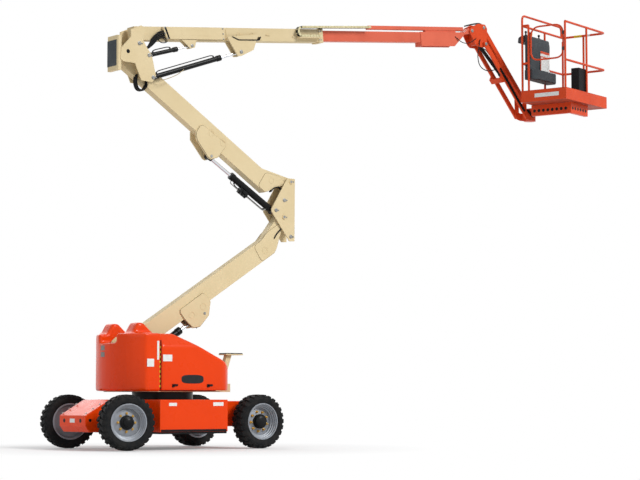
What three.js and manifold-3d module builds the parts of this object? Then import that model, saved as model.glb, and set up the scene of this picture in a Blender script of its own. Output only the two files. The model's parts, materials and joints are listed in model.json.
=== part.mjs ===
// Articulating boom lift on four wheels: a two-stage tower of parallel arms, a telescopic main boom,
// a jib and a work platform. Millimetres, +X towards the platform, +Y to the far side, +Z up.
// While the machine is laid out, x = y = 0 is the swing axis and z = 0 is the ground. The finished
// group is then moved so that its origin is the bottom centre of the whole machine's bounding box.

import * as THREE from "three";
import { mergeVertices } from "three/addons/utils/BufferGeometryUtils.js";
import Module from "manifold-3d";

const wasm = await Module();
wasm.setup();

// ---------------------------------------------------------------- driving dimensions

const TOUCH = 0.3; // gap kept between pieces that touch
const RUNNING = 0.5; // radial clearance of a pin in its bore

const WHEEL_BASE = 2010;
const TRACK = 1510; // between the wheels' middle planes
const TYRE_RADIUS = 355;
const TYRE_WIDTH = 240;
const RIM_RADIUS = 238;
const STEER_REST_DEG = -12.8; // the front wheels stand a little turned

const CHASSIS_HALF_WIDTH = 800;
const CHASSIS_BOTTOM = 230;
const CHASSIS_TOP = 640;
const CHASSIS_FRONT = -562; // faces of the wide middle box
const CHASSIS_REAR = 490;

const SLEW_RADIUS = 400;
const TURNTABLE_BOTTOM = 740;
const HOOD_BOTTOM = 750;
const HOOD_HALF_WIDTH = 600;
const TAIL_RADIUS = 872;
const SHOULDER_HEIGHT = 1490;
const LOBE_HEIGHT = 1630;
const SEAM_X = -410; // between the tail casting and the front hoods
const ARM_SLOT = 190; // half-width of the slot between the hoods

const TOWER_Y = 40; // middle plane of both tower arms
const ARM_HALF_WIDTH = 65;
const LOWER_ARM_DEG = 32.5;
const LOWER_ARM_LENGTH = 3118; // along the tube, pin to pin
const LOWER_ARM_DEPTH = 264;
const UPPER_ARM_DEG = 146.4; // direction from its lower pin to its upper pin's station
const UPPER_ARM_LENGTH = 3108;
const UPPER_ARM_DEPTH = 246;
const BOOM_DEG = 5.7;
const BOOM_LENGTH = 3114;
const BOOM_DEPTH = 180;
const BOOM_HALF_WIDTH = 80;
const BOOM_WALL = 10;
const FLY_DEPTH = 148;
const FLY_HALF_WIDTH = 60;
const FLY_HIDDEN = 1560; // length of fly inside the boom
const FLY_OUT = 1840; // length of fly tube outside the boom
const JIB_DEG = -50.7;
const JIB_LENGTH = 1300;
const PLATFORM_WIDTH = 1300;
const PLATFORM_DEPTH = 760;
const FLOOR_OVER_PIN = 144.08076; // platform floor above the jib's lower pin
const PLATFORM_YAW_DEG = -73; // the platform stands turned towards the near side
const RAIL_HEIGHT = 1160;
const RAIL_RADIUS = 17;
const MID_RAIL = 570;

// ---------------------------------------------------------------- materials

const paint = (color, roughness, metalness) =>
  new THREE.MeshStandardMaterial({ color, roughness, metalness });
const ORANGE = paint(0xea4b12, 0.35, 0.0);
const CREAM = paint(0xdbc9a0, 0.45, 0.0);
const SALMON = paint(0xc9402c, 0.45, 0.0);
const BLACK = paint(0x17181a, 0.5, 0.1);
const CHROME = paint(0xd8dade, 0.15, 1.0);
const TYRE = paint(0x1b1c1d, 0.9, 0.0);
const RIM = paint(0xa9adb2, 0.4, 0.6);
const GREY = paint(0x3c4246, 0.6, 0.0);
const DARK_STEEL = paint(0x2a2b2d, 0.6, 0.5);

// ---------------------------------------------------------------- small geometry helpers

const rad = THREE.MathUtils.degToRad;

/** Outline from [x, z] points, extruded along Y between y0 and y1. */
function slab(points, y0, y1) {
  const shape = new THREE.Shape(points.map(([x, z]) => new THREE.Vector2(x, z)));
  const geometry = new THREE.ExtrudeGeometry(shape, { depth: y1 - y0, bevelEnabled: false });
  return geometry.rotateX(Math.PI / 2).translate(0, y1, 0);
}

/** Outline from [x, y] points, extruded along Z between z0 and z1. */
function deck(points, z0, z1) {
  const shape = new THREE.Shape(points.map(([x, y]) => new THREE.Vector2(x, y)));
  const geometry = new THREE.ExtrudeGeometry(shape, { depth: z1 - z0, bevelEnabled: false });
  return geometry.translate(0, 0, z0);
}

function box(x0, x1, y0, y1, z0, z1) {
  return new THREE.BoxGeometry(x1 - x0, y1 - y0, z1 - z0)
    .translate((x0 + x1) / 2, (y0 + y1) / 2, (z0 + z1) / 2);
}

/** Cylinder between two points. */
function rod(from, to, radius, segments = 20) {
  const a = new THREE.Vector3(...from);
  const b = new THREE.Vector3(...to);
  const along = b.clone().sub(a);
  const turn = new THREE.Quaternion()
    .setFromUnitVectors(new THREE.Vector3(0, 1, 0), along.clone().normalize());
  const middle = a.add(b).multiplyScalar(0.5);
  return new THREE.CylinderGeometry(radius, radius, along.length(), segments)
    .applyQuaternion(turn)
    .translate(middle.x, middle.y, middle.z);
}

/** Cross pin along Y at [x, z]. */
const pin = ([x, z], y0, y1, radius, segments = 20) =>
  rod([x, y0, z], [x, y1, z], radius, segments);

/** Solid of revolution about Y at [x, z]; the profile holds [radius, y] points. */
function turned([x, z], y, profile, segments) {
  const points = profile.map(([r, s]) => new THREE.Vector2(r, s));
  return new THREE.LatheGeometry(points, segments).translate(x, y, z);
}

/** Round tube along points in one plane with the given normal, mitred at each corner. */
function bentTube(points, radius, normal, closed = false, segments = 8) {
  const at = points.map((p) => new THREE.Vector3(...p));
  const n = new THREE.Vector3(...normal).normalize();
  const count = at.length;
  const reach = radius / Math.cos(Math.PI / segments); // flats lie at the radius
  const position = [];
  for (let i = 0; i < count; i += 1) {
    const before = at[(i + count - 1) % count];
    const after = at[(i + 1) % count];
    const arriving = at[i].clone().sub(before).normalize();
    const leaving = after.clone().sub(at[i]).normalize();
    if (!closed && i === 0) {
      arriving.copy(leaving);
    }
    if (!closed && i === count - 1) {
      leaving.copy(arriving);
    }
    const side = n.clone().cross(arriving.clone().add(leaving).normalize());
    const stretch = 1 / side.dot(n.clone().cross(arriving));
    for (let k = 0; k < segments; k += 1) {
      const a = (2 * Math.PI * (k + 0.5)) / segments;
      const p = at[i].clone().addScaledVector(n, reach * Math.cos(a))
        .addScaledVector(side, reach * Math.sin(a) * stretch);
      position.push(p.x, p.y, p.z);
    }
  }
  const index = [];
  const rings = closed ? count : count - 1;
  for (let i = 0; i < rings; i += 1) {
    const a = i * segments;
    const b = ((i + 1) % count) * segments;
    for (let k = 0; k < segments; k += 1) {
      const l = (k + 1) % segments;
      index.push(a + k, b + k, a + l, a + l, b + k, b + l);
    }
  }
  if (!closed) {
    const last = (count - 1) * segments;
    for (let k = 1; k + 1 < segments; k += 1) {
      index.push(0, k, k + 1, last, last + k + 1, last + k);
    }
  }
  const geometry = new THREE.BufferGeometry();
  geometry.setAttribute("position", new THREE.Float32BufferAttribute(position, 3));
  geometry.setIndex(index);
  return geometry;
}

function toSolid(geometry) {
  const bare = geometry.clone();
  bare.deleteAttribute("normal");
  bare.deleteAttribute("uv");
  const welded = mergeVertices(bare, 1e-3);
  const mesh = new wasm.Mesh({
    numProp: 3,
    vertProperties: new Float32Array(welded.attributes.position.array),
    triVerts: new Uint32Array(welded.index.array),
  });
  return new wasm.Manifold(mesh);
}

function toGeometry(solid) {
  const mesh = solid.getMesh();
  const geometry = new THREE.BufferGeometry();
  geometry.setAttribute("position", new THREE.BufferAttribute(mesh.vertProperties, 3));
  geometry.setIndex(new THREE.BufferAttribute(mesh.triVerts, 1));
  return geometry;
}

/** Union of the geometries in `add`, less those in `cut`. */
function shape(add, cut = []) {
  const flatten = (list) => list.flat(3).map(toSolid);
  let solid = flatten(add).reduce((sum, next) => sum.add(next));
  for (const tool of flatten(cut)) {
    solid = solid.subtract(tool);
  }
  return toGeometry(solid);
}

/** Frame in the XZ plane: maps [u, v], u along `deg` from `origin`, to [x, z]. */
function arm([ox, oz], deg) {
  const c = Math.cos(rad(deg));
  const s = Math.sin(rad(deg));
  return (u, v) => [ox + u * c - v * s, oz + u * s + v * c];
}

const spots = (frame, list) => list.map(([u, v]) => frame(u, v));
const minus = ([ax, az], [bx, bz]) => [ax - bx, az - bz];
const plus = ([ax, az], [bx, bz]) => [ax + bx, az + bz];

// ---------------------------------------------------------------- pins and pivots, as [x, z]

const LOWER_ARM_PIN = [-600, 1330];
const lowerFrame = arm(LOWER_ARM_PIN, LOWER_ARM_DEG);
const MID_LOWER_PIN = lowerFrame(LOWER_ARM_LENGTH, 165);
const MID_UPPER_PIN = plus(MID_LOWER_PIN, [118, 497]);
const UPPER_CYLINDER_BASE = plus(MID_LOWER_PIN, [-139, 88]);
const upperFrame = arm(MID_UPPER_PIN, UPPER_ARM_DEG);
const TOWER_TOP_PIN = upperFrame(UPPER_ARM_LENGTH, 226);
const BOOM_PIN = plus(TOWER_TOP_PIN, [173, 123]);
const LEVEL_CYLINDER_BASE = plus(BOOM_PIN, [153, -143]);
const BOOM_CYLINDER_BASE = plus(BOOM_PIN, [218, -431]);
const boomFrame = arm(BOOM_PIN, BOOM_DEG);
const BOOM_MIDDLE = 141; // height of the boom's centreline over its pin
const LOWER_CYLINDER_BASE = [-450, 1060];
const LOWER_CYLINDER_EYE = lowerFrame(1288, -281);
const UPPER_CYLINDER_EYE = upperFrame(1247, 511);
const BOOM_CYLINDER_EYE = boomFrame(1637, -103);
const LEVEL_CYLINDER_EYE = boomFrame(850, -23);
const FLY_TIP = BOOM_LENGTH + FLY_OUT;
const HEAD_PIN = boomFrame(FLY_TIP + 996, BOOM_MIDDLE + 102);
const JIB_LOWER_PIN = plus(HEAD_PIN, [246, -177]);
const JIB_UPPER_PIN = plus(JIB_LOWER_PIN, [-10, 250]);
const jibFrame = arm(JIB_LOWER_PIN, JIB_DEG);
const jibLinkFrame = arm(JIB_UPPER_PIN, JIB_DEG);
const ROTATOR_LOWER_PIN = jibFrame(JIB_LENGTH, 0);
const ROTATOR_UPPER_PIN = jibLinkFrame(JIB_LENGTH, 0);
const ROTATOR_X = ROTATOR_LOWER_PIN[0] + 186;
const PLATFORM_FLOOR = ROTATOR_LOWER_PIN[1] + FLOOR_OVER_PIN;

// ---------------------------------------------------------------- assembly helpers

const lift = new THREE.Group();
lift.name = "boom_lift";
const bodies = {};

/** A body is a group at its joint's pivot; its pieces are modelled in machine coordinates. */
function body(name, parent, [x, y, z] = [0, 0, 0]) {
  const group = new THREE.Group();
  group.name = name;
  const from = parent ? bodies[parent].pivot : new THREE.Vector3();
  const pivot = new THREE.Vector3(x, y, z);
  group.position.copy(pivot).sub(from);
  (parent ? bodies[parent].group : lift).add(group);
  bodies[name] = { group, pivot };
}

function piece(bodyName, name, geometry, material) {
  const { group, pivot } = bodies[bodyName];
  const mesh = new THREE.Mesh(geometry.clone().translate(-pivot.x, -pivot.y, -pivot.z), material);
  mesh.name = name;
  group.add(mesh);
}

const yPin = ([x, z], y = 0) => [x, y, z];

// ---------------------------------------------------------------- chassis and axles

const STEER_AXLE_X = -WHEEL_BASE / 2;
const DRIVE_AXLE_X = WHEEL_BASE / 2;
const WHEEL_Y = TRACK / 2;
const KINGPIN_Y = WHEEL_Y - 105;
const AXLE_HALF = 62; // half-width and half-height of the axle beams
const TONGUE_HALF_WIDTH = 320;
const TONGUE_FRONT = STEER_AXLE_X - TYRE_RADIUS;
const REAR_SECTION_HALF_WIDTH = 540;
const REAR_SECTION_END = DRIVE_AXLE_X + 150;

function chassisFrame() {
  const corner = 60;
  const middle = deck([
    [CHASSIS_FRONT, -CHASSIS_HALF_WIDTH + corner], [CHASSIS_FRONT + 8, -CHASSIS_HALF_WIDTH],
    [CHASSIS_REAR, -CHASSIS_HALF_WIDTH], [CHASSIS_REAR, CHASSIS_HALF_WIDTH],
    [CHASSIS_FRONT + 8, CHASSIS_HALF_WIDTH], [CHASSIS_FRONT, CHASSIS_HALF_WIDTH - corner],
  ], CHASSIS_BOTTOM, CHASSIS_TOP);
  const tongue = slab([
    [TONGUE_FRONT, 310], [TONGUE_FRONT + 60, CHASSIS_BOTTOM], [CHASSIS_FRONT + 1, CHASSIS_BOTTOM],
    [CHASSIS_FRONT + 1, CHASSIS_TOP], [STEER_AXLE_X, CHASSIS_TOP], [TONGUE_FRONT, 440],
  ], -TONGUE_HALF_WIDTH, TONGUE_HALF_WIDTH);
  const rear = slab([
    [CHASSIS_REAR - 1, 290], [REAR_SECTION_END, 290], [REAR_SECTION_END, 520],
    [REAR_SECTION_END - 90, 620], [CHASSIS_REAR - 1, 620],
  ], -REAR_SECTION_HALF_WIDTH, REAR_SECTION_HALF_WIDTH);
  const axleNotch = (x, half) => box(
    x - AXLE_HALF - TOUCH, x + AXLE_HALF + TOUCH, -half, half,
    CHASSIS_BOTTOM - 50, TYRE_RADIUS + AXLE_HALF + TOUCH,
  );
  const tieRodSlot = box(STEER_AXLE_X, TIE_ROD_X + 60, -400, 400, CHASSIS_BOTTOM - 50,
    TIE_ROD_Z + 40);
  return shape(
    [middle, tongue, rear],
    [axleNotch(STEER_AXLE_X, 400), axleNotch(DRIVE_AXLE_X, 600), tieRodSlot],
  );
}

function steerAxle() {
  const beam = box(STEER_AXLE_X - AXLE_HALF, STEER_AXLE_X + AXLE_HALF, -KINGPIN_Y + 60,
    KINGPIN_Y - 60, TYRE_RADIUS - AXLE_HALF, TYRE_RADIUS + AXLE_HALF);
  const yokes = [-1, 1].map((side) => {
    const inner = side * (KINGPIN_Y - 95);
    const outer = side * (KINGPIN_Y + 35);
    const [y0, y1] = [Math.min(inner, outer), Math.max(inner, outer)];
    const slotInner = side * (KINGPIN_Y - 50);
    const slotOuter = side * (KINGPIN_Y + 60);
    const [s0, s1] = [Math.min(slotInner, slotOuter), Math.max(slotInner, slotOuter)];
    const sweepInner = side * (KINGPIN_Y - 140);
    const [a0, a1] = [Math.min(sweepInner, slotInner), Math.max(sweepInner, slotInner)];
    return {
      add: box(STEER_AXLE_X - 45, STEER_AXLE_X + 45, y0, y1, TYRE_RADIUS - 98, TYRE_RADIUS + 98),
      cut: box(STEER_AXLE_X - 80, STEER_AXLE_X + 80, s0, s1, TYRE_RADIUS - 75, TYRE_RADIUS + 75),
      armSweep: box(STEER_AXLE_X, STEER_AXLE_X + 80, a0 - 1, a1 + 1, TYRE_RADIUS - 78,
        TYRE_RADIUS - 44),
    };
  });
  return shape([beam, yokes.map((y) => y.add)], [yokes.map((y) => [y.cut, y.armSweep])]);
}

function steerKnuckle(side) {
  const y = side * KINGPIN_Y;
  const block = rod([STEER_AXLE_X, y, TYRE_RADIUS - 74.5], [STEER_AXLE_X, y, TYRE_RADIUS + 74.5], 40);
  const spindle = rod([STEER_AXLE_X, y, TYRE_RADIUS],
    [STEER_AXLE_X, side * (WHEEL_Y + 44), TYRE_RADIUS], SPINDLE_RADIUS, 24);
  const steerArm = box(STEER_AXLE_X, STEER_AXLE_X + 165, y - 22, y + 22,
    TYRE_RADIUS - 72, TYRE_RADIUS - 50);
  return shape([block, spindle, steerArm]);
}

const SPINDLE_RADIUS = 35;
const TIE_ROD_REACH = 145; // from a kingpin to the tie rod's ball joint
const TIE_ROD_X = STEER_AXLE_X + TIE_ROD_REACH * Math.cos(rad(STEER_REST_DEG));
const TIE_ROD_Z = TYRE_RADIUS - 90;

function tieRod() {
  const swung = TIE_ROD_REACH * Math.sin(rad(STEER_REST_DEG));
  const end = (side, z) => [TIE_ROD_X, side * KINGPIN_Y + swung, z];
  const bar = rod(end(-1, TIE_ROD_Z), end(1, TIE_ROD_Z), 14, 12);
  const eyes = [-1, 1].map((side) => rod(end(side, TIE_ROD_Z - 16), end(side, TIE_ROD_Z + 17.5), 22, 16));
  return shape([bar, eyes]);
}

function driveAxle() {
  const beam = box(DRIVE_AXLE_X - AXLE_HALF, DRIVE_AXLE_X + AXLE_HALF, -580, 580,
    TYRE_RADIUS - AXLE_HALF, TYRE_RADIUS + AXLE_HALF);
  const ends = [-1, 1].map((side) => [
    rod([DRIVE_AXLE_X, side * 560, TYRE_RADIUS], [DRIVE_AXLE_X, side * 672, TYRE_RADIUS], 105, 24),
    rod([DRIVE_AXLE_X, side * 600, TYRE_RADIUS],
      [DRIVE_AXLE_X, side * (WHEEL_Y + 44), TYRE_RADIUS], SPINDLE_RADIUS, 24),
  ]);
  return shape([beam, ends]);
}

// ---------------------------------------------------------------- wheels

const WHEEL_SEGMENTS = 32;

function tyre([x, z], y) {
  const r = RIM_RADIUS + TOUCH;
  const half = TYRE_WIDTH / 2;
  const profile = [
    [r, -half + 18], [r + 24, -half + 2], [r + 66, -half], [r + 98, -half + 8],
    [TYRE_RADIUS - 4, -half + 32], [TYRE_RADIUS, -half + 60],
    [TYRE_RADIUS, half - 60], [TYRE_RADIUS - 4, half - 32],
    [r + 98, half - 8], [r + 66, half], [r + 24, half - 2], [r, half - 18],
  ];
  return turned([x, z], y, [...profile, profile[0]], WHEEL_SEGMENTS);
}

/** Rim with its hub; `side` is +1 where the wheel's outer face looks along +Y. */
function rim([x, z], y, side, hubRadius, hubOut) {
  const half = TYRE_WIDTH / 2 - 8;
  const bore = SPINDLE_RADIUS + RUNNING;
  const outside = [
    [0, hubOut], [hubRadius - 12, hubOut], [hubRadius, hubOut - 12], [hubRadius, 34],
    [150, 26], [196, 34], [204, 70], [216, half], [RIM_RADIUS, half],
  ];
  const inside = [
    [RIM_RADIUS, -half], [218, -half], [206, -30], [196, 14], [150, 8], [62, 12],
    [58, -62], [bore, -62], [bore, 44 + TOUCH], [0, 44 + TOUCH],
  ];
  const profile = [...outside, ...inside].map(([r, s]) => [r, s * side]);
  return turned([x, z], y, side > 0 ? profile.reverse() : profile, WHEEL_SEGMENTS);
}

// ---------------------------------------------------------------- turntable

const RISER_HALF = 85; // inside half-gap between plates that carry the tower arms
const RISER_THICKNESS = 20;
const BASE_TOP = HOOD_BOTTOM - TOUCH;

function slewRing() {
  return shape([rod([0, 0, CHASSIS_TOP + TOUCH], [0, 0, TURNTABLE_BOTTOM - TOUCH], SLEW_RADIUS, 40)]);
}

function turntableFrame() {
  const base = deck([
    [-560, -560], [540, -560], [540, -110], [1010, -110], [1010, 110], [540, 110],
    [540, 560], [-560, 560],
  ], TURNTABLE_BOTTOM, BASE_TOP);
  const spine = box(-740, 1010, -70, 150, TURNTABLE_BOTTOM, TURNTABLE_BOTTOM + 60);
  const nose = box(700, 1010, -110, 110, TURNTABLE_BOTTOM, 850);
  const walls = [-1, 1].map((side) => slab([
    [SEAM_X + 30, TURNTABLE_BOTTOM], [540, TURNTABLE_BOTTOM], [540, 1030], [-160, 1340],
    [SEAM_X + 30, 1340],
  ].reverse(), side * (ARM_SLOT - 14) - 6, side * (ARM_SLOT - 14) + 6));
  const outline = [
    [-760, 760], [-760, 1230], [-700, 1400], [-640, 1450], [-560, 1450], [-500, 1400],
    [-430, 1150], [-340, 1060], [-340, 760],
  ];
  const plates = [-1, 1].map((side) => {
    const inner = TOWER_Y + side * RISER_HALF;
    const outer = TOWER_Y + side * (RISER_HALF + RISER_THICKNESS);
    return slab(outline, Math.min(inner, outer), Math.max(inner, outer));
  });
  const foot = box(-760, -340, TOWER_Y - RISER_HALF - 1, TOWER_Y + RISER_HALF + 1, 760, 900);
  const back = box(-760, -735, TOWER_Y - RISER_HALF - 1, TOWER_Y + RISER_HALF + 1, 890, 1180);
  const pins = [
    pin(LOWER_ARM_PIN, TOWER_Y - RISER_HALF - 30, TOWER_Y + RISER_HALF + 30, PIN_RADIUS),
    pin(LOWER_CYLINDER_BASE, TOWER_Y - RISER_HALF - 30, TOWER_Y + RISER_HALF + 30, 20),
  ];
  return shape([base, spine, nose, walls, plates, foot, back, pins]);
}

const PIN_RADIUS = 30;

function boomRest() {
  const leg = slab([[880, 850 + TOUCH], [960, 850 + TOUCH], [1085, 1236], [1005, 1236]], -35, 35);
  const plate = box(955, 1235, -90, 90, 1235, 1250);
  return shape([leg, plate]);
}

/** Plan outline of the tail: flat sides and a round back of the zero-swing radius. */
function tailPlan(inset) {
  const r = TAIL_RADIUS - inset;
  const side = HOOD_HALF_WIDTH - inset;
  const start = Math.asin(side / r);
  const points = [[SEAM_X - TOUCH - inset, side], [SEAM_X - TOUCH - inset, -side]];
  const steps = 14;
  const arc = [];
  for (let i = 0; i <= steps; i += 1) {
    const a = -start + (2 * start * i) / steps;
    arc.push([-r * Math.cos(a), r * Math.sin(a)]);
  }
  return [...points.slice(1), ...arc, points[0]];
}

function tailCasting() {
  const bodyBlock = deck(tailPlan(0), HOOD_BOTTOM, SHOULDER_HEIGHT);
  const lobes = [-1, 1].map((side) => slab([
    [-TAIL_RADIUS + 90, SHOULDER_HEIGHT - 60], [SEAM_X - TOUCH, SHOULDER_HEIGHT - 60],
    [SEAM_X - TOUCH, SHOULDER_HEIGHT + 10], [-560, LOBE_HEIGHT], [-640, LOBE_HEIGHT],
    [-TAIL_RADIUS + 150, SHOULDER_HEIGHT],
  ], side > 0 ? ARM_SLOT : -HOOD_HALF_WIDTH + 190, side > 0 ? HOOD_HALF_WIDTH - 190 : -ARM_SLOT));
  const armSlot = box(-TAIL_RADIUS - 10, SEAM_X + 10, -ARM_SLOT, ARM_SLOT, 1370, LOBE_HEIGHT + 50);
  const riserPocket = box(-770, SEAM_X + 10, TOWER_Y - RISER_HALF - RISER_THICKNESS - 14,
    TOWER_Y + RISER_HALF + RISER_THICKNESS + 14, HOOD_BOTTOM - 10, 1400);
  return shape([bodyBlock, lobes], [armSlot, riserPocket]);
}

const HOOD_WALL = 22;
const HOOD_NOSE_X = 825; // foremost point of the rounded nose

/** Solid outline of a front hood, drawn in by `inset` on every face but the inner side. */
function hoodBlank(side, inset) {
  const x0 = SEAM_X + TOUCH + inset;
  const bottom = HOOD_BOTTOM - (inset > 0 ? 50 : 0);
  const profile = [
    [x0, bottom], [x0, SHOULDER_HEIGHT - inset], [-150 - inset * 0.4, SHOULDER_HEIGHT - inset],
    [HOOD_NOSE_X - 25 - inset, 1045 - inset], [HOOD_NOSE_X - inset, 985],
    [HOOD_NOSE_X - 75 - inset, bottom],
  ];
  const near = ARM_SLOT - (inset > 0 ? 10 : 0);
  const far = HOOD_HALF_WIDTH - inset;
  const block = slab(profile, ...(side > 0 ? [near, far] : [-far, -near]));
  return shape([block], [shoulderCut(side, inset), noseCut(side, inset)]);
}

const frontHood = (side) => shape([hoodBlank(side, 0)], [hoodBlank(side, HOOD_WALL)]);

/** Wedge that slopes the hood's top down to its outer side. */
function shoulderCut(side, inset) {
  const [dy, dz] = [-0.598, 0.802]; // up the slope
  const onSlope = (along) => [
    HOOD_HALF_WIDTH - dz * inset + dy * along, 1330 + dy * inset + dz * along,
  ];
  const [lowY, lowZ] = onSlope(-60);
  const [highY, highZ] = onSlope(270);
  const outline = [[lowY, lowZ], [lowY + 200, lowZ], [lowY + 200, highZ], [highY, highZ]]
    .map(([y, z]) => [y * side, z]);
  const profile = new THREE.Shape((side > 0 ? outline : outline.reverse())
    .map(([y, z]) => new THREE.Vector2(y, z)));
  return new THREE.ExtrudeGeometry(profile, { depth: 1600, bevelEnabled: false })
    .applyMatrix4(new THREE.Matrix4().makeBasis(
      new THREE.Vector3(0, 1, 0), new THREE.Vector3(0, 0, 1), new THREE.Vector3(1, 0, 0),
    ))
    .translate(SEAM_X - 100, 0, 0);
}

/** Block that rounds the hood's nose in plan. */
function noseCut(side, inset) {
  const outline = [
    [540, HOOD_HALF_WIDTH], [612, 575], [690, 505], [765, 400], [810, 290], [HOOD_NOSE_X, 180],
  ].map(([x, y]) => [x - inset * 0.8, (y - inset * 0.6) * side]);
  const block = [
    [500, (HOOD_HALF_WIDTH + 50) * side], ...outline, [HOOD_NOSE_X + 1, 150 * side],
    [HOOD_NOSE_X + 60, 150 * side], [HOOD_NOSE_X + 60, (HOOD_HALF_WIDTH + 50) * side],
  ];
  return deck(side > 0 ? block : block.reverse(), HOOD_BOTTOM - 100, SHOULDER_HEIGHT + 50);
}

function batteryBlock(side) {
  const [y0, y1] = side > 0 ? [235, 555] : [-555, -235];
  return shape([box(SEAM_X + 60, 470, y0, y1, BASE_TOP + TOUCH, 1010)]);
}

// ---------------------------------------------------------------- tower

function lowerArm() {
  const y = TOWER_Y;
  const half = ARM_HALF_WIDTH;
  const bottom = -184;
  const top = bottom + LOWER_ARM_DEPTH;
  const reach = LOWER_ARM_LENGTH;
  const beam = slab(spots(lowerFrame, [
    [-70, bottom + 90], [30, bottom], [reach - 380, bottom], [reach + 5, 105],
    [reach + 60, 165], [reach + 5, 225], [reach - 50, 225], [reach - 450, top], [-70, top],
  ]), y - half, y + half);
  const lug = slab(spots(lowerFrame, [
    [988, -34], [957, -71], [968, -174], [1023, -352], [1131, -398], [1336, -342],
    [1460, -199], [1432, -29],
  ]), y - half - 12, y + half + 12);
  const lugGap = slab(spots(lowerFrame, [
    [900, -430], [1500, -430], [1500, -190], [900, -190],
  ]), y - half + 6, y + half - 6);
  const bores = [
    pin(LOWER_ARM_PIN, y - 200, y + 200, PIN_RADIUS + RUNNING),
    pin(MID_LOWER_PIN, y - 200, y + 200, PIN_RADIUS + RUNNING),
  ];
  return shape([beam, lug], [lugGap, bores]);
}

function midLink() {
  const outline = [
    [54, 543], [186, 542], [180, -326], [95, -330], [-213, 71], [-214, 103],
  ].map((d) => plus(MID_LOWER_PIN, d));
  const plates = [-1, 1].map((side) => {
    const inner = TOWER_Y + side * RISER_HALF;
    const outer = TOWER_Y + side * (RISER_HALF + 15);
    return slab(outline, Math.min(inner, outer), Math.max(inner, outer));
  });
  const [px, pz] = MID_LOWER_PIN;
  const web = box(px + 158, px + 180, TOWER_Y - RISER_HALF - 1, TOWER_Y + RISER_HALF + 1,
    pz - 200, pz + 400);
  const pins = [
    pin(MID_LOWER_PIN, TOWER_Y - RISER_HALF - 25, TOWER_Y + RISER_HALF + 25, PIN_RADIUS),
    pin(MID_UPPER_PIN, TOWER_Y - RISER_HALF - 25, TOWER_Y + RISER_HALF + 25, PIN_RADIUS),
    pin(UPPER_CYLINDER_BASE, TOWER_Y - RISER_HALF - 25, TOWER_Y + RISER_HALF + 25, 20),
  ];
  return shape([plates, web, pins]);
}

function upperArm() {
  const y = TOWER_Y;
  const half = ARM_HALF_WIDTH;
  const top = 130;
  const bottom = top + UPPER_ARM_DEPTH;
  const reach = UPPER_ARM_LENGTH;
  const beam = slab(spots(upperFrame, [
    [-55, -5], [-5, -55], [50, -30], [480, top], [reach - 420, top], [reach - 20, 168],
    [reach + 75, 226], [reach + 40, 290], [reach - 150, bottom], [260, bottom], [60, 100], [-30, 50],
  ]).reverse(), y - half, y + half);
  const lug = slab(spots(upperFrame, [
    [1620, 272], [1630, 382], [1571, 470], [1274, 561], [1229, 555], [1152, 467],
    [1129, 271], [1145, 224], [1577, 238],
  ]).reverse(), y - half - 12, y + half + 12);
  const lugGap = slab(spots(upperFrame, [
    [1050, bottom + 8], [1700, bottom + 8], [1700, 600], [1050, 600],
  ]).reverse(), y - half + 6, y + half - 6);
  const bores = [
    pin(MID_UPPER_PIN, y - 200, y + 200, PIN_RADIUS + RUNNING),
    pin(TOWER_TOP_PIN, y - 200, y + 200, PIN_RADIUS + RUNNING),
  ];
  return shape([beam, lug], [lugGap, bores]);
}

const UPRIGHT_HALF = 140;
const UPRIGHT_PLATE = 15;

function upright() {
  const inner = UPRIGHT_HALF - UPRIGHT_PLATE;
  const outline = [
    [-131, 172], [27, 240], [83, 215], [98, 179], [76, 125], [62, 41], [129, -59], [190, -128],
    [205, -179], [260, -408], [207, -496], [36, -487], [-61, -270], [-245, -262], [-288, -230],
    [-276, -84], [-130, 72],
  ].map((d) => plus(BOOM_PIN, d)).reverse();
  const plates = [slab(outline, -UPRIGHT_HALF, -inner), slab(outline, inner, UPRIGHT_HALF)];
  const [ex, ez] = BOOM_PIN;
  const tail = deck([
    [ex - 332, -108], [ex - 316, -132], [ex - 270, -132], [ex - 270, 132], [ex - 316, 132],
    [ex - 332, 108],
  ], ez - 378, ez + 79);
  const pins = [
    pin(TOWER_TOP_PIN, -inner - 10, inner + 10, PIN_RADIUS),
    pin(BOOM_PIN, -inner - 10, inner + 10, PIN_RADIUS),
    pin(BOOM_CYLINDER_BASE, -inner - 10, CYLINDER_LANE + 36, 20),
    pin(LEVEL_CYLINDER_BASE, -inner - 10, CYLINDER_LANE + 36, 20),
  ];
  return shape([plates, tail, pins]);
}

const CYLINDER_LANE = -75; // middle plane of the two cylinders under the boom

// ---------------------------------------------------------------- main boom

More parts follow.
